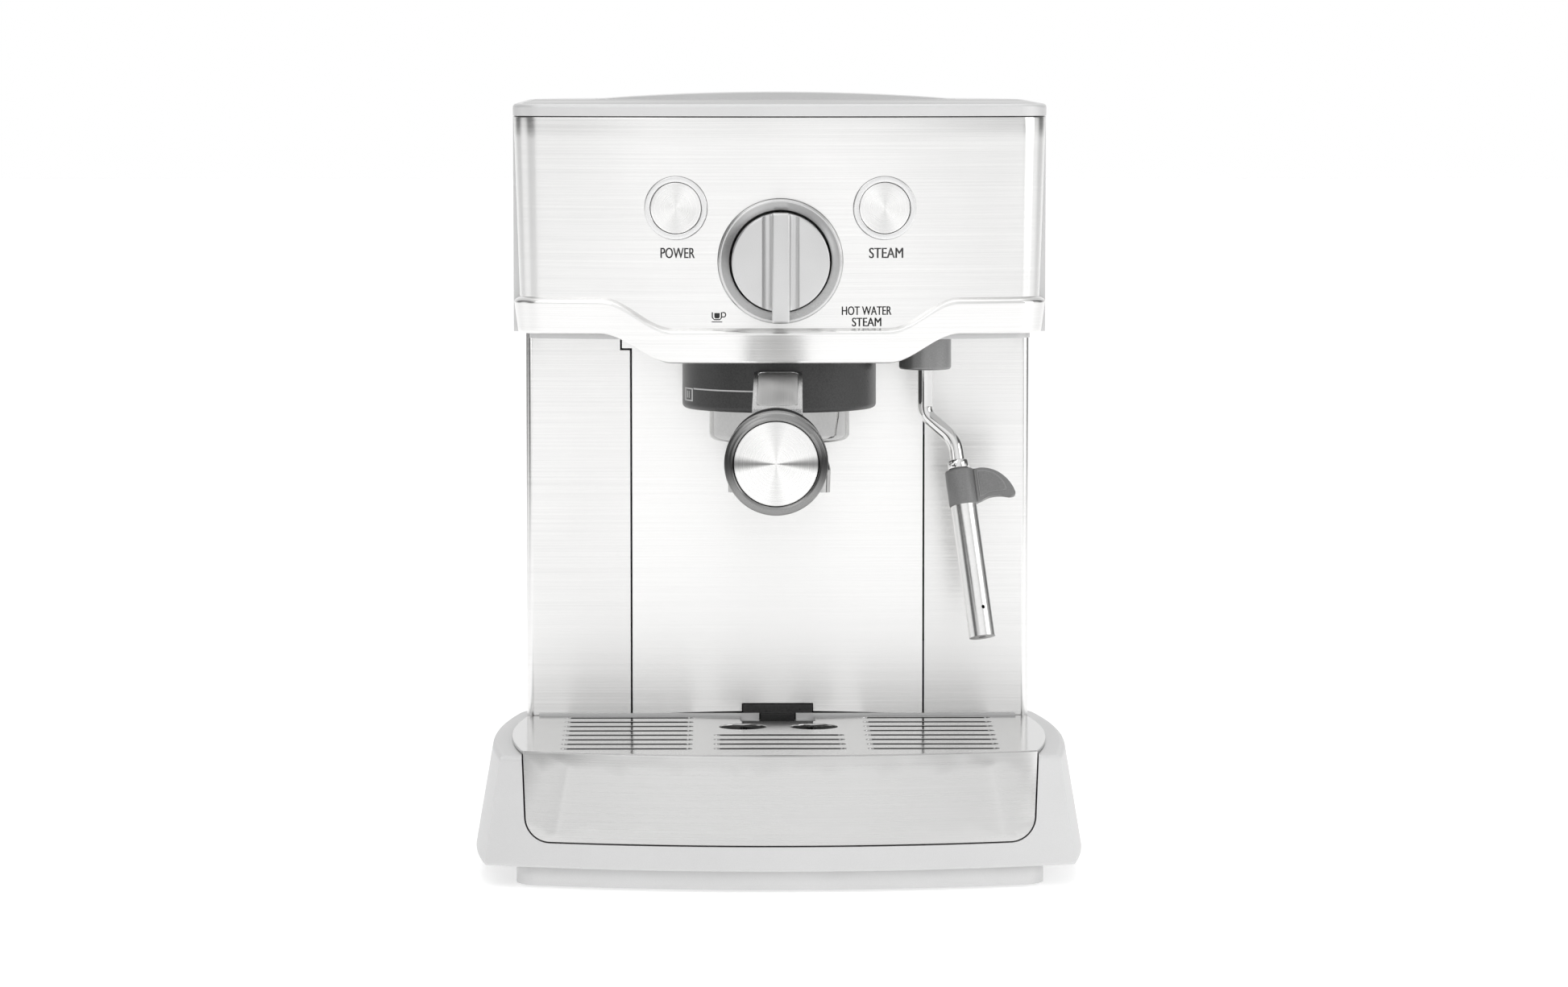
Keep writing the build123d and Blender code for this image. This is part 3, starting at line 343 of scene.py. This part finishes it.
def turned(profile, segments=160):
    """A bmesh turned about Z from a closed loop of (radius, height) points in millimetres."""
    shape = bmesh.new()
    rings = []
    for radius, height in profile:
        if radius < 1e-6:
            rings.append([shape.verts.new((0, 0, height * MM))] * segments)
            continue
        ring = []
        for i in range(segments):
            turn = 2 * pi * i / segments
            ring.append(shape.verts.new((radius * cos(turn) * MM, radius * sin(turn) * MM, height * MM)))
        rings.append(ring)
    for near, far in zip(rings, rings[1:] + rings[:1]):
        for i in range(segments):
            j = (i + 1) % segments
            corners = []
            for corner in (near[i], near[j], far[j], far[i]):
                if corner not in corners:
                    corners.append(corner)
            if len(corners) > 2:
                shape.faces.new(corners)
    return shape


def arc(centre, radius, start, end, steps):
    """Points of an arc in millimetres, by angles in degrees."""
    points = []
    for i in range(steps + 1):
        angle = (start + (end - start) * i / steps) * pi / 180
        points.append((centre[0] + radius * cos(angle), centre[1] + radius * sin(angle)))
    return points


def curve(a, b, c, d, steps):
    """Points of a Bezier curve, without its first point."""
    points = []
    for i in range(1, steps + 1):
        t = i / steps
        weights = ((1 - t) ** 3, 3 * t * (1 - t) ** 2, 3 * t * t * (1 - t), t**3)
        points.append(tuple(sum(w * p[k] for w, p in zip(weights, (a, b, c, d))) for k in range(2)))
    return points


def facing(point, normal):
    """A matrix that stands a turned piece on a point, its Z along the normal."""
    return Matrix.Translation(point) @ normal.to_track_quat("Z", "Y").to_matrix().to_4x4()


def apply_boolean(piece, cutter, operation="DIFFERENCE"):
    """Cuts, or joins, the piece with the cutter, and removes the cutter."""
    modifier = piece.modifiers.new("cut", "BOOLEAN")
    modifier.operation = operation
    modifier.solver = "EXACT"
    modifier.object = cutter
    bpy.context.view_layer.update()
    graph = bpy.context.evaluated_depsgraph_get()
    mesh = bpy.data.meshes.new_from_object(piece.evaluated_get(graph))
    piece.modifiers.clear()
    piece.data = mesh
    bpy.data.objects.remove(cutter)


def loose_object(mesh, matrix=None):
    """An object that isn't a piece of the model: a cutter, a blank or the floor."""
    thing = bpy.data.objects.new("tool", mesh)
    bpy.context.scene.collection.objects.link(thing)
    if matrix:
        thing.matrix_world = matrix
    return thing


def cut_mesh(piece, smooth_angle):
    """The mesh left after the booleans, freed of its object and shaded like the other pieces."""
    mesh = piece.data
    bpy.data.objects.remove(piece)
    mesh.materials.clear()
    mesh.shade_smooth()
    mesh.set_sharp_from_angle(angle=smooth_angle * pi / 180)
    return mesh


def prism(outline, half):
    """A closed outline in X and Z, in millimetres, made solid over -half to half of Y."""
    shape = bmesh.new()
    near = [shape.verts.new((x * MM, -half * MM, z * MM)) for x, z in outline]
    far = [shape.verts.new((x * MM, half * MM, z * MM)) for x, z in outline]
    faces = [shape.faces.new(near), shape.faces.new(list(reversed(far)))]
    for i in range(len(outline)):
        j = (i + 1) % len(outline)
        shape.faces.new((near[j], near[i], far[i], far[j]))
    return shape, list({edge for face in faces for edge in face.edges})


# ---- The fascia ----
def bow(x, middle):
    """Y of a bowed front at X, when its middle is at Y = middle."""
    return middle + FRONT_RADIUS - sqrt(FRONT_RADIUS**2 - x**2)


HEAD_HALF = FASCIA_HIGH.x + EDGE
HEAD_FRONT = FASCIA_LOW.y - EDGE
CORNER = 15 * MM
FLARE_END = 0.17  # part of the lip's height in which it flares out to full width
LIP_TUCK = 1.5 * MM  # how far the lip then comes back in
LIP_ROUND = 1.3 * MM  # radius of its lower edge
SHEET = 1.7 * MM


def head_outline(inset, rows=(5, 16, 74)):
    """The head's front seen from above, from its left side round to its right side, moved in by inset."""
    half, front, radius = HEAD_HALF - inset, HEAD_FRONT + inset, CORNER - inset
    bow_centre = front + FRONT_RADIUS
    corner_y = bow_centre - sqrt((FRONT_RADIUS - radius) ** 2 - (half - radius) ** 2)
    corner = Vector((half - radius, corner_y))
    reach = asin((half - radius) / (FRONT_RADIUS - radius))
    points = []
    for i in range(rows[2]):
        angle = reach * i / rows[2]
        points.append((FRONT_RADIUS * sin(angle), bow_centre - FRONT_RADIUS * cos(angle)))
    for i in range(rows[1]):
        angle = reach + (pi / 2 - reach) * i / rows[1]
        points.append((corner.x + radius * sin(angle), corner.y - radius * cos(angle)))
    for i in range(rows[0] + 1):
        points.append((half, corner_y + (FASCIA_HIGH.y - corner_y) * i / rows[0]))
    return [(-x, y) for x, y in points[:0:-1]] + points


def s_line(x, heights):
    """The height of the crease or the lip's edge at X: level, then an S, then level again."""
    side, middle = heights
    t = min(max((abs(x) - S_BEND[0]) / (S_BEND[1] - S_BEND[0]), 0), 1)
    return middle + (side - middle) * t * t * (3 - 2 * t)


def fascia_section(crease, edge):
    """(inset, height) points down the fascia's face, round its lower edge and up its back."""
    top, lean = FASCIA_HIGH.z, WAIST / (FASCIA_HIGH.z - CREASE[1])
    face = [(0.9 * MM, top), (0.6 * MM, top - 0.15 * MM), (EDGE, top - 0.45 * MM)]
    start = crease + 1.2 * MM
    for i in range(1, 9):
        z = top + (start - top) * i / 8
        face.append((EDGE + lean * (top - z), z))
    waist = EDGE + lean * (top - start)
    low = edge + LIP_ROUND
    for i in range(1, 25):
        t = i / 24
        flare = sin(pi / 2 * min(t / FLARE_END, 1))
        tuck = LIP_TUCK * max((t - FLARE_END) / (1 - FLARE_END), 0)
        face.append((waist + (EDGE - waist) * flare + tuck, start + (low - start) * t))
    for i in range(1, 6):
        angle = pi / 2 * i / 5
        face.append((EDGE + LIP_TUCK + LIP_ROUND * (1 - cos(angle)), low - LIP_ROUND * sin(angle)))
    back = [(4.0 * MM, edge + 0.3 * MM), (4.0 * MM, edge + 2 * MM)]
    back += [(waist + SHEET, start + 2 * MM), (EDGE + SHEET, top - 0.2 * MM)]
    return face + back


def panel_y(x, z):
    """Y of the fascia's leaning face."""
    inset = EDGE + WAIST * (FASCIA_HIGH.z - z) / (FASCIA_HIGH.z - CREASE[1])
    return bow(x, HEAD_FRONT + inset)


def button_axis(side):
    """Where a button's axis meets the fascia, and the outward direction there."""
    x = side * BUTTON_X
    angle = asin(BUTTON_X / FRONT_RADIUS)
    return Vector((x, panel_y(x, BUTTON_Z), BUTTON_Z)), Vector((side * sin(angle), -cos(angle), 0))


def drill(radius, depth=60):
    """A cutter for a round hole."""
    return turned([(0, -depth), (radius, -depth), (radius, depth), (0, depth)], 128)


def moved_in(points, i, distance):
    """Point i of an outline, moved towards the outline's inside."""
    before, after = points[max(i - 1, 0)], points[min(i + 1, len(points) - 1)]
    along = Vector((after[0] - before[0], after[1] - before[1])).normalized()
    return points[i][0] - along.y * distance, points[i][1] + along.x * distance


def build_fascia():
    """One sheet: a panel that leans in, a crease, and a flared lip with an S-shaped edge."""
    stations = head_outline(EDGE)
    sections = [fascia_section(s_line(x, CREASE), s_line(x, LIP_EDGE)) for x, _ in stations]
    shape = bmesh.new()
    rows = []
    for k in range(len(sections[0])):
        row = []
        for i, section in enumerate(sections):
            inset, z = section[k]
            x, y = moved_in(stations, i, inset - EDGE)
            row.append(shape.verts.new((x, y, z)))
        rows.append(row)
    for near, far in zip(rows, rows[1:] + rows[:1]):
        for i in range(len(near) - 1):
            shape.faces.new((near[i], near[i + 1], far[i + 1], far[i]))
    shape.faces.new([row[0] for row in rows])
    shape.faces.new([row[-1] for row in reversed(rows)])
    piece = loose_object(to_mesh(shape, "fascia_sheet"))
    apply_boolean(piece, loose_object(to_mesh(drill(KNOB_HOLE), "drill"), facing(KNOB, OUTWARD)))
    for side in (-1, 1):
        apply_boolean(piece, loose_object(to_mesh(drill(BUTTON_HOLE), "drill"), facing(*button_axis(side))))
    mesh = cut_mesh(piece, 40)
    finish_piece(mesh, "fascia_sheet", "brushed_steel", "machine", ["front_fascia"])


# ---- Controls ----
def build_bezel():
    """A dished ring: a rounded crest outside, a slope down to the bore."""
    crest = arc((24.6, 3.3), 0.9, 0, 110, 8)
    profile = [(25.7, -7.5), (25.7, 3.3), *crest[1:], (21.35, 2.3), (21.0, 1.95), (21.0, -7.5)]
    finish_piece(to_mesh(turned(profile), "knob_dish", 50), "knob_dish", "dish_aluminium", "machine",
                 ["knob_bezel"], facing(KNOB, OUTWARD))


def build_buttons():
    """Two spun caps, dished a little, on their stems, each in a flat ring."""
    cap = [(0, 0.42), (4.0, 0.44), (8.0, 0.52), (10.05, 0.6), *arc((10.1, 0.15), 0.45, 90, 0, 5)[1:],
           (10.55, -4.4), (2.5, -4.4), (2.5, -14), (0, -14)]
    ring = [(10.75, -9), (10.75, 0.6), *arc((11.1, 0.55), 0.35, 180, 90, 4)[1:],
            *arc((12.6, 0.5), 0.4, 90, 0, 5), (13.0, -9)]
    for side, name in ((-1, "power"), (1, "steam")):
        matrix = facing(*button_axis(side))
        finish_piece(to_mesh(turned(cap), name + "_cap", 50), name + "_cap", "cap_aluminium",
                     name + "_button", [name + "_button"], matrix)
        finish_piece(to_mesh(turned(ring), name + "_ring", 50), name + "_ring", "ring_aluminium",
                     "machine", [name + "_button_ring"], matrix)


def rounded_box(size, centre, radius, steps=3):
    """A box in millimetres with rounded edges."""
    shape = bmesh.new()
    bmesh.ops.create_cube(shape, size=1)
    for vert in shape.verts:
        vert.co = Vector(c + v * s for c, v, s in zip(centre, vert.co, size)) * MM
    bmesh.ops.bevel(shape, geom=list(shape.edges), offset=radius * MM, segments=steps, profile=0.5,
                    affect="EDGES", clamp_overlap=True)
    return shape


def build_knob():
    """A disc with two coves, and the grip bar between them. Local Z points out of the front."""
    depth, rim = 15.0, 20.1
    disc = [(0, -2.0), (rim, -2.0), (rim, depth - 0.7), *arc((rim - 0.7, depth - 0.7), 0.7, 0, 90, 5)[1:],
            (0, depth)]
    piece = loose_object(to_mesh(turned(disc), "knob_disc"))
    section = [(-7.7, 17), (-7.7, 15.0), (-7.2, 14.45), (-6.4, 14.0), (-5.5, 13.85), (-4.6, 14.05),
               (-3.9, 14.7), (-3.4, 16.0), (-3.3, 17)]
    section += [(-x, z) for x, z in reversed(section)]
    cove = bmesh.new()
    ends = [[cove.verts.new((x * MM, y * MM, z * MM)) for x, z in section] for y in (-30, 30)]
    for i in range(len(section)):
        j = (i + 1) % len(section)
        cove.faces.new((ends[0][i], ends[0][j], ends[1][j], ends[1][i]))
    cove.faces.new(ends[0])
    cove.faces.new(reversed(ends[1]))
    apply_boolean(piece, loose_object(to_mesh(cove, "cove")))
    low, high = -24.5, 20.2
    bar = rounded_box((7.2, high - low, 14.4), (0, (low + high) / 2, 15.3), 0.85, 4)
    apply_boolean(piece, loose_object(to_mesh(bar, "bar")), "UNION")
    mesh = cut_mesh(piece, 38)
    finish_piece(mesh, "knob_grip", "satin_aluminium", "selector", ["selector_knob"],
                 facing(KNOB, OUTWARD))


# ---- Filter holder ----
LOCKED = -1  # degrees that the locked handle stands off the middle
TURN = Matrix.Translation(GROUP) @ Matrix.Rotation(LOCKED * pi / 180, 4, "Z") @ Matrix.Translation(-GROUP)
HANDLE_END_Y = -177.6 * MM
NECK_SLOPE = asin(9.8 / 63.8)


def build_handle_end():
    """The ring and the spun disc that close the handle."""
    middle = Vector((0, HANDLE_END_Y, (RING_LOW.z + RING_HIGH.z) / 2))
    ring = [(16.9, -4.5), (19.7, -4.5), *arc((19.7, -3.7), 0.8, -90, 0, 4)[1:], (20.5, 3.9),
            *arc((18.7, 4.6), 1.8, 0, 90, 10), *arc((18.2, 5.7), 1.3, 90, 180, 7)[1:]]
    matrix = TURN @ facing(middle, OUTWARD)
    finish_piece(to_mesh(turned(ring), "handle_ring", 50), "handle_ring", "ring_chrome", "filter_holder",
                 ["handle_end_ring"], matrix)
    disc = [(0, 5.0), (16.7, 5.0), (16.7, 5.9), *arc((16.4, 5.9), 0.3, 0, 90, 3)[1:], (1.0, 6.2), (0, 6.1)]
    finish_piece(to_mesh(turned(disc), "handle_disc", 50), "handle_disc", "disc_aluminium", "filter_holder",
                 ["handle_end_disc"], matrix)


def build_neck_panel():
    """The darker panel let into the neck's sloping top."""
    corners = [arc((x, y), 3, start, start + 90, 6) for x, y, start in
               ((5.1, 28.2, 0), (-5.1, 28.2, 90), (-5.1, -28.2, 180), (5.1, -28.2, 270))]
    shape, rims = prism([point for corner in corners for point in corner], 0.35)
    bmesh.ops.bevel(shape, geom=rims, offset=0.25 * MM, segments=3, profile=0.5, affect="EDGES")
    slope = Matrix.Rotation(NECK_SLOPE, 4, "X") @ Matrix.Rotation(pi / 2, 4, "X")
    place = TURN @ Matrix.Translation(Vector((0, -102.5, 209.25)) * MM) @ slope
    finish_piece(to_mesh(shape, "neck_panel"), "neck_panel", "neck_aluminium", "filter_holder",
                 (), place)


# ---- Steam wand ----
WAND_CORNER = Vector((73.9, -30.5, 183.245)) * MM
WAND_TIP = Vector((84.2, -52.6, 106.0)) * MM
GRIP_START = 12.9 * MM  # along the wand, from its corner


def build_grip():
    """The grip's barrel, and its fin, which curves over to a point and has a raised panel on each side."""
    along = (WAND_TIP - WAND_CORNER).normalized()
    out = Vector((1, 0, -along.x / along.z)).normalized()
    place = Matrix((out, along.cross(out), along)).transposed().to_4x4()
    place = Matrix.Translation(WAND_CORNER + along * GRIP_START) @ place
    length, radius, bore = 15.4, 6.1, 3.05
    barrel = [(bore, 0), (radius - 1.0, 0), *arc((radius - 1.0, 1.0), 1.0, -90, 0, 4)[1:],
              (radius, length - 0.6), *arc((radius - 0.6, length - 0.6), 0.6, 0, 90, 3)[1:],
              (5.5, length - 0.01), (5.5, 8.0), (bore, 8.0)]
    finish_piece(to_mesh(turned(barrel, 96), "grip_barrel"), "grip_barrel", "grey_plastic", "froth_sleeve",
                 ["wand_grip"], place)
    fin = [(5.6, 0.5), (8.2, 0.5), *curve((8.2, 0.5), (14.0, 0.6), (20.0, 4.6), (22.2, 12.6), 14)]
    fin += curve((22.2, 12.6), (22.2, 14.4), (20.6, 14.6), (18.6, 13.9), 6)
    fin += [*curve((18.6, 13.9), (15.0, 12.6), (10.5, 12.6), (7.4, 14.6), 9), (5.6, 14.9)]
    panel = [(7.6, 2.2), *curve((7.6, 2.2), (13.0, 1.9), (16.6, 5.0), (18.0, 9.6), 12)]
    panel += curve((18.0, 9.6), (18.3, 10.9), (17.6, 11.3), (16.4, 11.1), 5)
    panel += [*curve((16.4, 11.1), (13.6, 10.6), (10.8, 11.0), (8.8, 12.2), 8), (7.6, 12.2)]
    middle, grown = (12.2, 7.6), 1.13
    line = [tuple(m + (v - m) * grown for v, m in zip(point, middle)) for point in panel]
    # The line is a real step round each raised panel, in a lighter and more metallic grey that paints the
    # highlight along the panel's edge.
    parts = (("grip_fin", fin, 2.25, 0.7, "grey_plastic"), ("grip_line", line, 2.45, 0.2, "socket_grey"),
             ("grip_panel", panel, 2.59, 0.14, "grey_plastic"))
    for name, outline, half, soft, look in parts:
        shape, rims = prism(outline, half)
        bmesh.ops.bevel(shape, geom=rims, offset=soft * MM, segments=4, profile=0.5, affect="EDGES",
                        clamp_overlap=True)
        finish_piece(to_mesh(shape, name), name, look, "froth_sleeve", (), place)


# ---- Printed marks ----
def collar_y(x, z):
    """Y of the collar's round wall."""
    radius = (COLLAR_HIGH.x - COLLAR_LOW.x) / 2
    return GROUP.y - sqrt(radius**2 - x**2)


def lay_on(mesh, centre, size, surface, proud=0.03 * MM):
    """Fits a flat mesh drawn in X and Y to a size, and lays it on a surface given as Y of (X, Z)."""
    low = Vector(min(v.co[k] for v in mesh.vertices) for k in range(2))
    high = Vector(max(v.co[k] for v in mesh.vertices) for k in range(2))
    for vert in mesh.vertices:
        x = centre[0] + size[0] * ((vert.co.x - low.x) / (high.x - low.x) - 0.5)
        z = centre[1] + size[1] * ((vert.co.y - low.y) / (high.y - low.y) - 0.5)
        lift = proud if vert.co.z > 0 else -0.1 * MM
        vert.co = (x, surface(x, z) - lift, z)


STROKE_SHIFTS = (-0.026, -0.013, 0, 0.013, 0.026)  # copies that thicken a letter, in letter heights


def print_word(word, name, centre, size, look):
    """A plain function word printed on the fascia, its strokes thickened sideways."""
    words = bpy.data.curves.new(name, "FONT")
    words.body = word
    words.extrude = 0.02
    words.resolution_u = 6
    holder = loose_object(words)
    bpy.context.view_layer.update()
    mesh = bpy.data.meshes.new_from_object(holder.evaluated_get(bpy.context.evaluated_depsgraph_get()))
    bpy.data.objects.remove(holder)
    shape = bmesh.new()
    for shift in STROKE_SHIFTS:
        first = len(shape.verts)
        shape.from_mesh(mesh)
        shape.verts.ensure_lookup_table()
        bmesh.ops.translate(shape, verts=shape.verts[first:], vec=(shift, 0, 0))
    shape.to_mesh(mesh)
    shape.free()
    lay_on(mesh, (centre[0] * MM, centre[1] * MM), (size[0] * MM, size[1] * MM), panel_y)
    mesh.materials.clear()
    finish_piece(mesh, name, look, "machine")


def slab_2d(shape, outline, high=0.02):
    """A flat prism from an outline in X and Y."""
    low_ring = [shape.verts.new((x, y, -high)) for x, y in outline]
    high_ring = [shape.verts.new((x, y, high)) for x, y in outline]
    shape.faces.new(high_ring)
    shape.faces.new(reversed(low_ring))
    for i in range(len(outline)):
        j = (i + 1) % len(outline)
        shape.faces.new((low_ring[i], low_ring[j], high_ring[j], high_ring[i]))


def ring_2d(shape, centre, outer, inner, start, end, steps=14):
    """A band along an arc."""
    far = arc(centre, outer, start, end, steps)
    near = arc(centre, inner, start, end, steps)
    for i in range(steps):
        slab_2d(shape, [far[i], far[i + 1], near[i + 1], near[i]])


def print_cup():
    """A plain cup and saucer."""
    shape = bmesh.new()
    slab_2d(shape, [(-1.05, 1.6), (1.15, 1.6), (1.15, 0.0), (0.8, -0.55), (-0.7, -0.55), (-1.05, 0.0)])
    slab_2d(shape, [(-2.1, 1.9), (-1.6, 1.9), (-1.6, -0.1), (-1.1, -0.85), (-1.1, -1.3), (-2.1, -0.3)])
    slab_2d(shape, [(1.6, 1.9), (2.1, 1.9), (2.1, -0.3), (1.2, -1.3), (1.2, -0.85), (1.6, -0.1)])
    slab_2d(shape, [(-1.1, -0.85), (1.2, -0.85), (1.2, -1.3), (-1.1, -1.3)])
    ring_2d(shape, (2.6, 0.9), 1.15, 0.7, 120, -120)
    slab_2d(shape, [(-2.1, -1.8), (2.1, -1.8), (2.1, -2.15), (-2.1, -2.15)])
    mesh = to_mesh(shape, "cup_mark")
    lay_on(mesh, (-25.3 * MM, 237.4 * MM), (6.0 * MM, 4.3 * MM), panel_y)
    finish_piece(mesh, "cup_mark", "print_dark", "machine")


def print_lock_line():
    """The line on the collar that shows where the handle locks, with a small sign at its start."""
    shape = bmesh.new()
    steps = 26
    for i in range(steps):
        x0, x1 = -36 + 25 * i / steps, -36 + 25 * (i + 1) / steps
        slab_2d(shape, [(x0, 205.7), (x1, 205.7), (x1, 206.3), (x0, 206.3)])
    for x in (-39.6, -36.8):
        slab_2d(shape, [(x, 200.6), (x + 0.5, 200.6), (x + 0.5, 206.0), (x, 206.0)])
    for i in range(6):
        x = -39.6 + 0.55 * i
        slab_2d(shape, [(x, 200.6), (x + 0.55, 200.6), (x + 0.55, 201.1), (x, 201.1)])
        slab_2d(shape, [(x, 205.6), (x + 0.55, 205.6), (x + 0.55, 206.1), (x, 206.1)])
    for x in (-38.7, -38.0):
        slab_2d(shape, [(x, 201.9), (x + 0.3, 201.9), (x + 0.3, 204.8), (x, 204.8)])
    mesh = to_mesh(shape, "lock_mark")
    for vert in mesh.vertices:
        x, z = vert.co.x * MM, vert.co.y * MM
        lift = 0.04 * MM if vert.co.z > 0 else -0.1 * MM
        vert.co = (x, collar_y(x, z) - lift, z)
    finish_piece(mesh, "lock_mark", "print_light", "machine")


def soften(name, width, segments=2, angle=40):
    """Rounds a CAD node's sharp edges."""
    node = frame["nodes"][name]
    weld = node.modifiers.new("weld", "WELD")
    weld.merge_threshold = 0.002 * MM
    bevel = node.modifiers.new("round", "BEVEL")
    bevel.width, bevel.segments = width * MM, segments
    bevel.limit_method, bevel.angle_limit = "ANGLE", angle * pi / 180
    bevel.harden_normals = True
    bevel.use_clamp_overlap = True


for name, width in (
    ("drip_tray_front", 0.4), ("drip_grate", 0.3), ("filter_holder_neck", 0.7), ("left_side_panel", 0.3),
    ("right_side_panel", 0.3), ("splash_back", 0.2), ("base_plinth", 0.8), ("drain_spout", 0.3),
    ("tank_lid", 0.4), ("cup_plate", 0.2), ("drip_tray", 0.3), ("steam_nut", 0.3), ("rear_cover", 0.4),
):
    soften(name, width)
build_fascia()
build_bezel()
build_buttons()
build_knob()
build_handle_end()
build_neck_panel()
build_grip()
print_word("POWER", "power_word", (-42.3, 263.8), (14.2, 4.3), "print_grey")
print_word("STEAM", "steam_word", (43.6, 263.8), (14.2, 4.3), "print_grey")
print_word("HOT WATER", "hot_water_word", (35.6, 240.0), (20.6, 3.6), "print_dark")
print_word("STEAM", "steam_side_word", (35.6, 235.3), (12.2, 3.6), "print_dark")
print_cup()
print_lock_line()


# ---- Stage: floor, light and camera ----
def build_floor():
    """A pale floor with a little light of its own, so that it runs into the white background."""
    shape = bmesh.new()
    bmesh.ops.create_grid(shape, x_segments=1, y_segments=1, size=12)
    mesh = to_mesh(shape, "floor")
    floor = loose_object(mesh)
    floor.name = "floor"
    glow = {"Emission Color": (1, 1, 1, 1), "Emission Strength": 0.42}
    look = Look("floor", grey(0.8), 0.0, 0.6, glow)
    look.tint(look.noise(3.0, 4.0), grey(0.8), grey(0.82))
    mesh.materials.append(look.material)


SIDE_TONES = (  # how far round to the side, from 0 to 1, and the studio's tone there
    (0.0, 1.0), (0.24, 1.0), (0.46, 0.74), (0.62, 0.74), (0.76, 0.14), (0.93, 0.1), (0.985, 0.85), (1.0, 0.9),
)


def build_world():
    """Even pale light, with a darker stretch at each side that the corners of the steel pick up."""
    world = bpy.data.worlds.new("studio")
    bpy.context.scene.world = world
    world.use_nodes = True
    nodes, links = world.node_tree.nodes, world.node_tree.links
    background = nodes["Background"]
    where = nodes.new("ShaderNodeTexCoord")
    parts = nodes.new("ShaderNodeSeparateXYZ")
    links.new(where.outputs["Generated"], parts.inputs["Vector"])
    sides = nodes.new("ShaderNodeMath")
    sides.operation = "ABSOLUTE"
    links.new(parts.outputs["X"], sides.inputs[0])
    ramp = nodes.new("ShaderNodeValToRGB")
    while len(ramp.color_ramp.elements) < len(SIDE_TONES):
        ramp.color_ramp.elements.new(0.5)
    for element, (position, value) in zip(ramp.color_ramp.elements, SIDE_TONES):
        element.position = position
        element.color = (value, value, value, 1)
    links.new(sides.outputs[0], ramp.inputs["Fac"])
    links.new(ramp.outputs["Color"], background.inputs["Color"])
    background.inputs["Strength"].default_value = 1.0


def soft_light(name, place, target, size, power):
    """A square lamp at a place, turned to a target."""
    data = bpy.data.lights.new(name, "AREA")
    data.shape = "RECTANGLE"
    data.size = data.size_y = size
    data.energy = power
    lamp = bpy.data.objects.new(name, data)
    bpy.context.scene.collection.objects.link(lamp)
    lamp.location = place
    lamp.rotation_euler = (Vector(target) - Vector(place)).to_track_quat("-Z", "Y").to_euler()


def build_camera():
    """A long lens, a little above the machine's middle and a little to its left."""
    data = bpy.data.cameras.new("camera")
    data.lens, data.sensor_width = 127.4, 36
    data.clip_start, data.clip_end = 0.05, 60
    camera = bpy.data.objects.new("camera", data)
    bpy.context.scene.collection.objects.link(camera)
    place, aim = Vector((-0.0232, -2.36, 0.35)), Vector((0.0022, -0.01, 0.1592))
    camera.location = place
    camera.rotation_euler = (aim - place).to_track_quat("-Z", "Y").to_euler()
    bpy.context.scene.camera = camera


build_floor()
build_world()
soft_light("key", (-1.3, -1.9, 2.3), (0, 0, 0.15), 1.6, 9)
soft_light("fill", (1.9, -0.9, 0.9), (0, 0, 0.1), 1.2, 9)
soft_light("top", (0, 0.3, 2.6), (0, 0, 0.3), 2.0, 9)
build_camera()
bpy.context.scene.view_settings.view_transform = "Standard"
